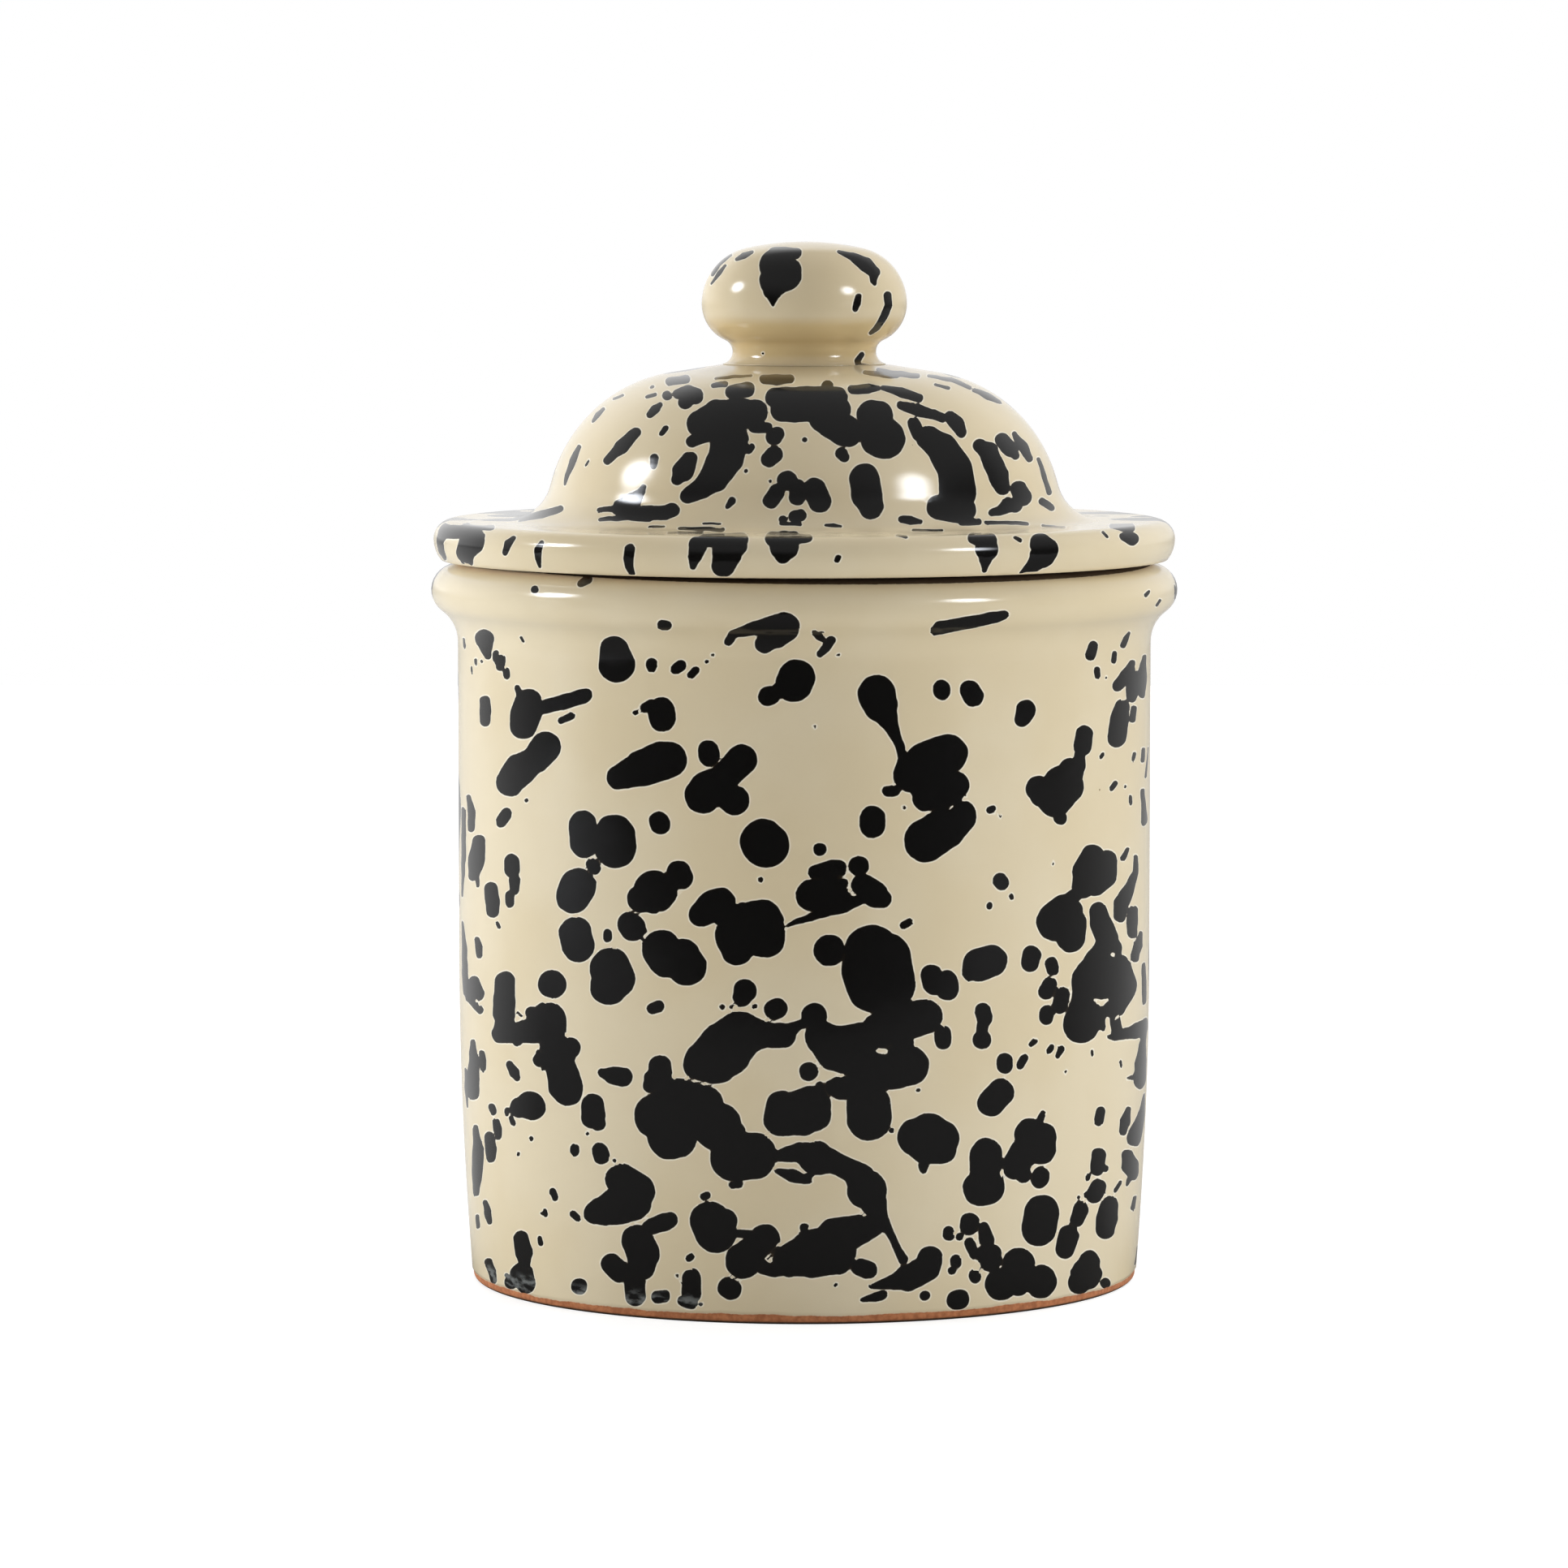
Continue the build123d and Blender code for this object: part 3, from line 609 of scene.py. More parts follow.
# %% Lid, right half
lid_splashes += [
    [(1003, 603, 14), (1010, 618, 13.5)], [(955, 490, 12), (985, 490, 14), (1030, 490, 14)],
    [(965, 505, 15), (1000, 500, 20), (1030, 505, 18)], [(1015, 515, 18), (1040, 530, 20), (1046, 534, 16)],
    [(1020, 476, 7)], [(1050, 480, 5), (1070, 479, 6), (1082, 478, 3)], [(1075, 512, 19), (1081, 513, 19)],
    [(1086, 538, 26), (1090, 540, 25)], [(1070, 530, 14)], [(1037, 559, 7.5), (1040, 563, 6.5)],
    [(1065, 590, 18.5), (1068, 610, 18.5), (1073, 624, 15)], [(1088, 478, 3), (1110, 483, 6), (1132, 491, 5)],
    [(1110, 499, 5), (1130, 505, 8), (1147, 510, 6)], [(1150, 510, 6), (1160, 515, 6)],
    [(1170.5, 514, 7), (1179, 522, 9.5), (1184, 532, 7)], [(1126, 521, 7), (1132, 535, 8)],
    [(1143, 539, 14.5), (1161, 553, 19), (1177, 579, 21), (1180, 605, 23), (1172, 622, 18)],
    [(1157, 625, 15), (1185, 628, 17)], [(1185, 644, 4), (1205, 643, 4)],
    [(1208, 550, 9), (1218, 557, 12), (1230, 585, 13), (1235, 600, 10)],
    [(1235, 543, 9), (1245, 553, 9.5), (1251, 561, 5)], [(1112, 640, 4.5), (1122, 641, 5.5), (1133, 643, 3)],
    [(1018, 647, 1.5), (1027, 647.5, 2.3), (1036, 648.5, 1.2)], [(1125, 653, 1.3), (1160, 654, 1.3)],
    [(1106, 660, 1.5), (1116, 662, 1.5)], [(1200, 663, 7), (1218, 667, 10.5)],
    [(1216, 676, 14), (1214, 690, 7), (1213, 702, 3)], [(1033, 686.5, 3), (1031, 690.5, 3)],
    [(1255, 603, 10), (1260, 612, 11)], [(1243, 622, 9), (1232, 629, 6), (1222, 632, 4)], [(1250, 622, 9)],
    [(1250, 535, 3), (1260, 550, 6.5), (1268, 564, 4.5)], [(1279, 566, 2), (1287, 588, 3), (1292, 606, 3.5)],
    [(1284, 618, 4), (1295, 625, 4)], [(1282, 670, 13), (1288, 677, 16)],
    [(1284, 685, 15), (1272, 698, 8), (1258, 706, 2)], [(1251, 663, 2), (1256, 665.5, 2.5)],
    [(1385, 661, 5), (1395, 664, 8)], [(1370, 648, 3), (1392, 651, 6)], [(1359, 656, 1.3), (1364, 661, 1.5)],
    [(1066, 459, 2.5), (1088, 462, 3.5), (1105, 464, 2)], [(1215, 644, 2), (1265, 645, 2)],
    [(1285, 648, 1.5), (1310, 650, 1.5)], [(1083, 456, 2.5), (1108, 461, 4), (1130, 463, 3)],
    [(1145, 463, 2), (1172, 468, 3), (1194, 477, 2.5)], [(1200, 481, 2.5), (1217, 488, 4), (1232, 495, 2)],
    [(1153, 474, 1.5), (1168, 478, 2)],
]
print(len(lid_splashes), "splashes on the lid")

# %% Knob
knob_splashes = [
    [(958, 328, 22), (962, 335, 25)], [(955, 345, 19), (952, 358, 11), (952, 376, 1.5)], [(970, 340, 17)],
    [(955, 312, 8), (980, 312, 7)], [(893, 327, 1.5), (886, 336, 3), (877, 349, 1.2)],
    [(900, 315, 1.5), (885, 325, 3), (878, 337, 2.5)], [(908, 319, 2), (917, 315, 4), (926, 311, 2)],
    [(1034, 310, 2), (1050, 316, 5), (1066, 326, 9), (1077, 335, 7), (1076, 346, 4), (1077, 349, 2.5)],
    [(1058, 365, 3), (1056, 374, 4), (1054, 381, 3)],
    [(1094, 364, 4.5), (1095, 376, 4.5), (1089, 391, 4.5), (1081, 403, 4), (1073, 411, 2)],
    [(1062, 437, 3), (1056, 445, 3.5), (1058, 451, 3.5), (1069, 452, 3)], [(940, 436, 1)],
]
print(len(knob_splashes), "splashes on the knob")

# %% [markdown]
# ## From the photograph to the clay
# A splash is known by where it is seen, and a point of the clay can be followed to its pixel with the camera's
# own perspective. Near the outline of the jar a surface turns away and a whole side would squeeze into a few
# pixels, so past that edge the surface is unrolled at the edge's own slant.

# %% Where a point is seen
seen_edge = radians(76)
sight = np.array((aim - eye).normalized())
upright = np.cross((1, 0, 0), sight)


def seen_at(azimuth, radius, height):
    held = np.clip(azimuth, -seen_edge, seen_edge)
    across = radius * (np.sin(held) + cos(seen_edge) * (azimuth - held))
    ray = np.stack([across, -radius * np.cos(held), height], axis=1) - np.array(eye)
    depth = ray @ sight
    return np.stack([
        photo_axis_across + photo_focal * ray[:, 0] / depth,
        photo_width / 2 - photo_focal * (ray @ upright) / depth,
    ], axis=1)


rim_spot = seen_at(np.zeros(1), np.array([rim_radius]), np.array([seat_height]))[0]
print("front of the rim is seen %.0f across, %.0f down" % tuple(rim_spot))

# %% [markdown]
# ## How far to the nearest splash
# The material needs one number at each vertex: how far it is from the edge of the black, below zero inside it.
# A distance blends smoothly between vertices, so the edge stays crisp where the mesh is coarse. Drops that lie
# close are joined with a soft minimum, which draws them together like wet glaze.

# %% Distance to dabs


def soft_min(first, second, softness):
    share = np.clip(0.5 + 0.5 * (second - first) / softness, 0, 1)
    return second + (first - second) * share - softness * share * (1 - share)


def chain_distance(points, dabs):
    closest = np.linalg.norm(points - dabs[0, :-1], axis=1) - dabs[0, -1]
    for start, end in zip(dabs, dabs[1:]):
        run = end - start
        share = np.clip((points - start[:-1]) @ run[:-1] / (run[:-1] @ run[:-1]), 0, 1)
        gap = np.linalg.norm(points - start[:-1] - share[:, None] * run[:-1], axis=1)
        closest = np.minimum(closest, gap - start[-1] - share * run[-1])
    return closest


def splash_field(points, chains, reach, softness):
    field = np.full(len(points), float(reach))
    for chain in chains:
        dabs = np.array(chain, float)
        low = (dabs[:, :-1] - dabs[:, -1:]).min(axis=0) - reach
        high = (dabs[:, :-1] + dabs[:, -1:]).max(axis=0) + reach
        near = np.arange(len(points))
        for axis in range(points.shape[1]):
            near = near[(points[near, axis] > low[axis]) & (points[near, axis] < high[axis])]
        if len(near):
            field[near] = soft_min(field[near], chain_distance(points[near], dabs), softness)
    return field


print("a dab 3 wide, seen from 5 away:", chain_distance(np.array([[5.0, 0.0]]), np.array([[0.0, 0.0, 3.0]])))

# %% [markdown]
# ## Splashes that the photograph doesn't show
# The back of the jar was splashed by the same brush. Its drops are thrown at random, from a fixed seed so that
# every run gives the same jar. Small drops are a little more common than large ones, each has a second dab run
# into it, and each throws up to two spatters. They lie on the surface itself, so they need no camera.

# %% Thrown drops
back_edge = radians(86)
smallest_share = 0.16
small_bias = 1.3
second_dab_lean = 0.75
second_dab_size = (0.55, 0.95)
most_spatters = 2
spatter_throw = 2.2
spatter_size = (0.1, 0.28)


def throw_drops(points, count, largest, seed):
    thrower = np.random.default_rng(seed)
    azimuth = np.arctan2(points[:, 0], -points[:, 1])
    free = points[np.abs(azimuth) > back_edge]
    weight = np.hypot(free[:, 0], free[:, 1])
    drops = []
    for centre in free[thrower.choice(len(free), count, p=weight / weight.sum())]:
        size = largest * (smallest_share + (1 - smallest_share) * thrower.random() ** small_bias)
        second = centre + second_dab_lean * (thrower.normal(size=3) * size)
        drops.append([(*centre, size), (*second, size * thrower.uniform(*second_dab_size))])
        for _ in range(thrower.integers(0, most_spatters + 1)):
            spot = centre + thrower.normal(size=3) * spatter_throw * size
            drops.append([(*spot, largest * thrower.uniform(*spatter_size))])
    return drops


print("drops are thrown where the jar has turned %.0f degrees from the front" % (back_edge * 180 / pi))

# %% [markdown]
# ## The distance on the clay
# The distance in pixels is turned into millimetres on the clay by how quickly it changes along the surface,
# round the jar and up it. That keeps the edge of a drop equally sharp on the wall, the ledge and the shoulder.
# A noise, seeded like the thrown drops, makes the edges uneven. Values that start with photo are in pixels.

# %% Splash distance in millimetres
photo_reach = 20
photo_softness = 0.8
gap_softness = 1
wobble_seed = 7
photo_wobble_size = 13
photo_wobble = 1.1
clay_wobble_size = 2.4 * mm
clay_wobble = 0.22
clay_softness = 0.5 * mm
nudge = 0.3 * mm
flattest_slope = 150
splash_reach = 3
spread = 0.12
noise.seed_set(wobble_seed)


def wobble_at(spots):
    """A small unevenness that draws the edges of the drops out of round."""
    return np.array([noise.noise_vector(spot) for spot in spots])


def splash_distance(points, normals, splashes, gaps, drops):
    azimuth = np.arctan2(points[:, 0], -points[:, 1])
    radius = np.hypot(points[:, 0], points[:, 1])
    height = points[:, 2]
    lean = (points[:, 0] * normals[:, 0] + points[:, 1] * normals[:, 1]) / np.maximum(radius, mm)
    seen = seen_at(azimuth, radius, height)
    wobble = wobble_at(np.pad(seen / photo_wobble_size, ((0, 0), (0, 1))))[:, :2] * photo_wobble

    def seen_field(azimuth, radius, height):
        spots = seen_at(azimuth, radius, height) + wobble
        field = splash_field(spots, splashes, photo_reach, photo_softness)
        return -soft_min(-field, splash_field(spots, gaps, photo_reach, photo_softness), gap_softness)

    here = seen_field(azimuth, radius, height)
    beside = seen_field(azimuth + nudge / np.maximum(radius, mm), radius, height)
    above = seen_field(azimuth, radius - nudge * normals[:, 2], height + nudge * lean)
    slope = np.hypot(beside - here, above - here) / nudge
    shown = here / np.maximum(slope, flattest_slope)
    uneven = points + wobble_at(points / clay_wobble_size) * clay_wobble * mm
    thrown = splash_field(uneven, drops, splash_reach * mm, clay_softness)
    return np.clip(np.minimum(shown, thrown) / mm - spread, -splash_reach, splash_reach)


print("edges wobble by about %.1f pixels in front, %.2f mm behind" % (photo_wobble, clay_wobble))

# %% [markdown]
# ## Finer where the edges run
# A mesh fine enough for every splash would be far too heavy. The turned form starts coarse, and only the faces
# that an edge of the black passes through are subdivided, so the triangles go where they are seen. The second
# time, the drops at the back are left as they are.

# %% Subdivide where edges run
refine_bands = (0.8, 0.2)
refine_edges = (pi, radians(90))


def read_vertices(clay):
    points = np.array([vert.co[:] for vert in clay.verts])
    normals = np.array([vert.normal[:] for vert in clay.verts])
    return points, normals


def refine(clay, splash_here):
    for band, round_to in zip(refine_bands, refine_edges):
        points, normals = read_vertices(clay)
        in_view = np.abs(np.arctan2(points[:, 0], -points[:, 1])) <= round_to
        close = (np.abs(splash_here()) < band) & in_view
        clay.verts.index_update()
        faces = [face for face in clay.faces if any(close[vert.index] for vert in face.verts)]
        edges = list(dict.fromkeys(edge for face in faces for edge in face.edges))
        bmesh.ops.subdivide_edges(clay, edges=edges, cuts=1, use_grid_fill=True)
        clay.normal_update()


print("faces within %.1f and then %.1f mm of an edge are subdivided" % refine_bands)

# %% Splash and finish a turned piece


def splashed_piece(name, clay, takes_splash, splashes, gaps, drop_count, largest_drop, seed):
    points, normals = read_vertices(clay)
    drops = throw_drops(points[takes_splash(points, normals)], drop_count, largest_drop, seed)

    def splash_here():
        points, normals = read_vertices(clay)
        taken = takes_splash(points, normals)
        distance = np.full(len(points), float(splash_reach))
        distance[taken] = splash_distance(points[taken], normals[taken], splashes, gaps, drops)
        return distance

    refine(clay, splash_here)
    distance = splash_here()
    for face in clay.faces:
        face.smooth = True
    mesh = bpy.data.meshes.new(name)
    clay.to_mesh(mesh)
    clay.free()
    mesh.attributes.new("splash", "FLOAT", "POINT").data.foreach_set("value", distance.astype(np.float32))
    piece = bpy.data.objects.new(name, mesh)
    bpy.context.scene.collection.objects.link(piece)
    mesh.calc_loop_triangles()
    black = (distance < 0).mean()
    print(f"{name}: {len(mesh.loop_triangles)} triangles, {len(drops)} thrown drops, {black:.2f} of vertices black")
    return piece


def mark_bare(piece, bare):
    """Keep how far inside the bare clay each vertex is, in millimetres, for the glaze's edge."""
    clipped = np.clip(bare / mm, -splash_reach, splash_reach).astype(np.float32)
    piece.data.attributes.new("bare", "FLOAT", "POINT").data.foreach_set("value", clipped)


def places(piece):
    points = np.empty(len(piece.data.vertices) * 3, np.float32)
    piece.data.vertices.foreach_get("co", points)
    return points.reshape(-1, 3)


print("each vertex keeps up to %d mm of distance" % splash_reach)

# %% [markdown]
# ## The pot
# The glaze's lower edge was wiped by hand, so it wanders: the vertices about it are moved up and down by a slow
# wave with a quicker one on top.

# %% The glaze's lower edge
edge_low = 0.8 * mm
edge_high = 7 * mm
edge_wander = 0.45 * mm
slow_wave = 4
quick_wave = 15
quick_share = 0.5
mouth_margin = 1 * mm


def glaze_wander(points):
    azimuth = np.arctan2(points[:, 0], -points[:, 1])
    ring = np.stack([np.cos(azimuth), np.sin(azimuth)], axis=1)
    slow = np.array([noise.noise((slow_wave * x, slow_wave * y, 0)) for x, y in ring])
    quick = np.array([noise.noise((quick_wave * x, quick_wave * y, 2)) for x, y in ring])
    return (slow + quick_share * quick) * edge_wander


def pot_outside(points, normals):
    radius = np.hypot(points[:, 0], points[:, 1])
    return (radius > bore_radius + mouth_margin) & (points[:, 2] > edge_low)


def lift_glaze_edge(clay):
    points, normals = read_vertices(clay)
    outside = pot_outside(points, normals)
    rise = np.interp(points[:, 2], [edge_low, glaze_line, edge_high], [0, 1, 0]) * outside
    for vert, lift in zip(clay.verts, rise * glaze_wander(points)):
        vert.co.z += lift


print("the glaze's edge wanders by up to %.2f mm" % (edge_wander / mm))

# %% Pot
pot_segments = 212
wall_step = 1.9 * mm
pot_clay = turn(draw_pot(wall_step), pot_segments)
lift_glaze_edge(pot_clay)
pot = splashed_piece(
    "glazed_pot", pot_clay, pot_outside, wall_splashes, wall_gaps, drop_count=215, largest_drop=8.2 * mm, seed=11
)

# %% [markdown]
# The foot's band is bare below the glaze's edge. The land that the lid rests on is bare too, because glaze there
# would fuse the lid to the jar in the kiln. The bare land reaches furthest out a little right of the front, which
# makes the painted shade in the slit under the lid thickest there and thin towards the sides.

# %% Bare clay on the pot
land_inset = 3.4 * mm
land_edge = rim_radius - land_inset
land_fade = 3.4 * mm
land_widest = radians(25)
land_margin = 0.2 * mm
land_depth = 1.5 * mm
mouth_glaze = 0.6 * mm
pot_places = places(pot)
pot_radius = np.hypot(pot_places[:, 0], pot_places[:, 1])
pot_azimuth = np.arctan2(pot_places[:, 0], -pot_places[:, 1])
band = glaze_line + glaze_wander(pot_places) - pot_places[:, 2]
# Narrower bare land at the sides thins the painted shade in the slit under the lid.
land_narrowing = land_fade * (1 - np.cos(pot_azimuth - land_widest))
land_bare_radius = np.maximum(land_edge - land_narrowing, seat_edge + land_margin)
land = np.minimum(land_bare_radius - pot_radius, pot_radius - bore_radius - mouth_glaze)
land = np.minimum(land, pot_places[:, 2] - seat_height + land_depth)
mark_bare(pot, np.maximum(band, land))
print("bare vertices: %d on the foot, %d on the land" % ((band > 0).sum(), (land > 0).sum()))

# %% [markdown]
# ## The lid and the knob
# The lid is glazed outside and in the hollow. Its collar and its seat are bare. The knob is glazed all over.

# %% Lid
lid_segments = 272
lid_step = 1.5 * mm
contact = 0.02 * mm
seat_wipe = 0.1 * mm
knob_overlap = 1 * mm
most_inward = -0.05
most_downward = -0.85


def lid_outside(points, normals):
    radius = np.hypot(points[:, 0], points[:, 1])
    outward = (points[:, 0] * normals[:, 0] + points[:, 1] * normals[:, 1]) / np.maximum(radius, mm)
    faces_out = (outward > most_inward) & (normals[:, 2] > most_downward)
    return (points[:, 2] > seat_height + contact) & faces_out & (radius > knob_seat - knob_overlap)


lid_clay = turn(draw_lid(lid_step), lid_segments)
lid = splashed_piece(
    "glazed_lid", lid_clay, lid_outside, lid_splashes, lid_gaps, drop_count=150, largest_drop=6.5 * mm, seed=23
)
mark_bare(lid, seat_height + seat_wipe - places(lid)[:, 2])

# %% Knob, turned and splashed
knob_segments = 132
knob_step = 0.95 * mm


def knob_outside(points, normals):
    return points[:, 2] > crown_top + contact


knob_clay = turn(draw_knob(knob_step), knob_segments)
knob = splashed_piece(
    "glazed_knob", knob_clay, knob_outside, knob_splashes, [], drop_count=12, largest_drop=3 * mm, seed=5
)
mark_bare(knob, np.full(len(knob.data.vertices), -splash_reach * mm))

# %% [markdown]
# ## Wiring a material
# Each finish is a small graph of nodes. The first helper adds one node, sets what is given as a value and links
# what is given as another node's output. The others are the few kinds of node that are used again and again.

# %% Node helpers


def wire(tree, kind, inputs=None, **settings):
    made = tree.nodes.new("ShaderNode" + kind)
    for name, value in settings.items():
        setattr(made, name, value)
    for name, value in (inputs or {}).items():
        if isinstance(value, bpy.types.NodeSocket):
            tree.links.new(value, made.inputs[name])
        else:
            made.inputs[name].default_value = value
    return made


def ease(tree, value, low, high):
    """0 at low, 1 at high, with a smooth run between them."""
    bounds = {"Value": value, "From Min": low, "From Max": high}
    return wire(tree, "MapRange", bounds, interpolation_type="SMOOTHSTEP").outputs["Result"]


def ramp(tree, value, low, high, at_low=0.0, at_high=1.0):
    """at_low at low, at_high at high, with a straight run between them."""
    bounds = {"Value": value, "From Min": low, "From Max": high, "To Min": at_low, "To Max": at_high}
    return wire(tree, "MapRange", bounds).outputs["Result"]


def math(tree, operation, *values):
    return wire(tree, "Math", dict(enumerate(values)), operation=operation).outputs["Value"]


def vector_math(tree, operation, *vectors):
    return wire(tree, "VectorMath", dict(enumerate(vectors)), operation=operation)


def blend_value(tree, share, first, second):
    """The two numbers of a Mix are its sockets 2 and 3."""
    return wire(tree, "Mix", {"Factor": share, 2: first, 3: second}).outputs[0]


def blend_colour(tree, share, first, second):
    """The two colours of a Mix are its sockets 6 and 7."""
    return wire(tree, "Mix", {"Factor": share, 6: first, 7: second}, data_type="RGBA").outputs[2]


print("node helpers ready")

# %% Texture helpers


def grain(tree, coords, scale, detail=2.0):
    return wire(tree, "TexNoise", {"Vector": coords, "Scale": scale, "Detail": detail}).outputs["Fac"]


def specks(tree, coords, scale, size, share):
    """Small round specks: near the middle of a cell, in only a share of the cells."""
    cells = wire(tree, "TexVoronoi", {"Vector": coords, "Scale": scale})
    chosen = wire(tree, "SeparateColor", {"Color": cells.outputs["Color"]}).outputs["Red"]
    inside = ease(tree, cells.outputs["Distance"], size, size / 2)
    return math(tree, "MULTIPLY", inside, math(tree, "LESS_THAN", chosen, share))


print("texture helpers ready")

# %% [markdown]
# ## The glaze
# The cream is an opaque, slightly uneven tin glaze. The black sits in it: its edge thins to brown, a pale ring
# where the cream drew back runs round it, and a few pinholes show as grey specks. Where the glaze ends, the
# bare red clay is rough and grainy. The two distances that the mesh carries place all of it.

# %% Glaze colours
cream_warm = (0.70, 0.595, 0.40, 1)
cream_pale = (0.73, 0.635, 0.45, 1)
cream_ring = (0.90, 0.86, 0.74, 1)
black_thin = (0.030, 0.021, 0.012, 1)
black_deep = (0.0065, 0.0062, 0.006, 1)
# Painted shade: a darker, warmer cream for the knob's neck and the underside of its ball.
neck_shade_colour = (0.60, 0.46, 0.24, 1)
wiped_grey = (0.17, 0.18, 0.175, 1)
speck_brown = (0.20, 0.13, 0.06, 1)
pinhole_grey = (0.16, 0.16, 0.15, 1)
clay_red = (0.53, 0.205, 0.085, 1)
clay_dark = (0.36, 0.125, 0.05, 1)
# Painted shade for the bare clay at the foot's lowest edge and in the slit under the lid.
painted_shade_colour = (0.05, 0.032, 0.018, 1)
print("cream %.2f bright, black %.3f, clay %.2f" % (cream_warm[0], black_deep[0], clay_red[0]))

# %% [markdown]
# The edges of the black and of the bare clay are given as where each starts and ends, in millimetres from the
# edge that the mesh carries. A grain is given by how many run to a metre.

# %% Glaze measures
ragged_grain = 1100
ragged_edge = 0.14
black_edge = (0.05, -0.07)
black_depth = (-0.02, -0.32)
ring_edge = (0.36, 0.08)
ring_strength = 0.75
cloud_grain = 28
cloud_edge = (0.35, 0.65)
speck_grain, speck_size, speck_share = 190, 0.05, 0.05
pinhole_grain, pinhole_size, pinhole_share = 240, 0.07, 0.025
clay_ragged = 2.5
clay_edge = (-0.12, 0.12)
clay_grain = 900
clay_mottle = (0.3, 0.7)
glaze_roughness = 0.10
roughness_grain = 60
roughness_spread = 0.06
clay_roughness = 0.8
ripple_grain = 120
ripple_share = 0.5
grit_grain = 1500
relief_depth = 0.05 * mm
glaze_ior = 1.58
print("a pale ring ends %.2f mm outside the black" % ring_edge[0])

# %% [markdown]
# Three marks belong to one place on the jar each: painted shade on the bare clay, along the foot's lowest edge where
# it meets the floor and in the slit under the lid; painted shade on the cream of the knob's neck and under its ball;
# and black that a sponge smeared low on the left.

# %% Marks of making, and painted shade
foot_shade_height = (0.75 * mm, 0.35 * mm)
foot_shade_inset = (2 * mm, 1.2 * mm)
slit_inset = 0.6 * mm
slit_middle = 1 * mm
slit_reach = 1.05 * mm
neck_shade_start = (-0.5 * mm, 2.5 * mm)
neck_shade_end = (11 * mm, 7.5 * mm)
neck_shade_on_ball = 0.2
wiped_low = (6.4 * mm, 3.8 * mm)
wiped_left = (-14 * mm, -24 * mm)
wiped_front = (6 * mm, -6 * mm)
streak_stretch = (1, 1, 2.6)
streak_grain = 300
streak_edge = (0.40, 0.66)


# Painted shade: 1 on the foot's lowest edge, where it meets the floor, and in a band of the slit under the lid's
# edge.
def painted_shade_at_foot_and_slit(tree, coords):
    height = wire(tree, "SeparateXYZ", {"Vector": coords}).outputs["Z"]
    flat = wire(tree, "Mapping", {"Vector": coords, "Scale": (1, 1, 0)}).outputs["Vector"]
    radius = vector_math(tree, "LENGTH", flat).outputs["Value"]
    outside = ease(tree, radius, *(foot_radius - inset for inset in foot_shade_inset))
    at_table = math(tree, "MULTIPLY", outside, ease(tree, height, *foot_shade_height))
    past_land = ease(tree, radius, seat_edge - slit_inset, seat_edge)
    below_lid = math(tree, "COMPARE", height, seat_height - slit_middle, slit_reach)
    return math(tree, "MAXIMUM", at_table, math(tree, "MULTIPLY", past_land, below_lid))


# Painted shade on the knob: full from where it meets the lid up under its ball, and a faint share over the rest of
# it.
def painted_neck_shade(tree, coords):
    height = wire(tree, "SeparateXYZ", {"Vector": coords}).outputs["Z"]
    above = ease(tree, height, *(crown_top + rise for rise in neck_shade_start))
    below = ease(tree, height, *(crown_top + rise for rise in neck_shade_end))
    return math(tree, "MULTIPLY", above, math(tree, "MAXIMUM", below, neck_shade_on_ball))


def wiped_patch(tree, coords):
    axes = wire(tree, "SeparateXYZ", {"Vector": coords})
    low = ease(tree, axes.outputs["Z"], *wiped_low)
    left = ease(tree, axes.outputs["X"], *wiped_left)
    front = ease(tree, axes.outputs["Y"], *wiped_front)
    stretched = wire(tree, "Mapping", {"Vector": coords, "Scale": streak_stretch}).outputs["Vector"]
    streaks = ease(tree, grain(tree, stretched, streak_grain, detail=4), *streak_edge)
    return math(tree, "MULTIPLY", math(tree, "MULTIPLY", low, left), math(tree, "MULTIPLY", front, streaks))


print("the sponge reached %.1f mm up" % (wiped_low[0] / mm))

# %% Colours of cream, black and clay


def cream_colour(tree, coords, edge):
    clouds = ease(tree, grain(tree, coords, cloud_grain, detail=3), *cloud_edge)
    cream = blend_colour(tree, clouds, cream_warm, cream_pale)
    # Painted shade darkens and warms the cream on the knob's neck.
    cream = blend_colour(tree, painted_neck_shade(tree, coords), cream, neck_shade_colour)
    ring = math(tree, "MULTIPLY", ease(tree, edge, *ring_edge), ring_strength)
    cream = blend_colour(tree, ring, cream, cream_ring)
    return blend_colour(tree, specks(tree, coords, speck_grain, speck_size, speck_share), cream, speck_brown)


def black_colour(tree, coords, edge):
    ink = blend_colour(tree, ease(tree, edge, *black_depth), black_thin, black_deep)
    pinholes = specks(tree, coords, pinhole_grain, pinhole_size, pinhole_share)
    ink = blend_colour(tree, pinholes, ink, pinhole_grey)
    return blend_colour(tree, wiped_patch(tree, coords), ink, wiped_grey)


def clay_colour(tree, coords):
    mottle = ease(tree, grain(tree, coords, clay_grain, detail=4), *clay_mottle)
    clay = blend_colour(tree, mottle, clay_dark, clay_red)
    # The bare clay turns dark brown there as painted shade.
    return blend_colour(tree, painted_shade_at_foot_and_slit(tree, coords), clay, painted_shade_colour)


print("colours of cream, black and clay ready")

# %% Splashed glaze


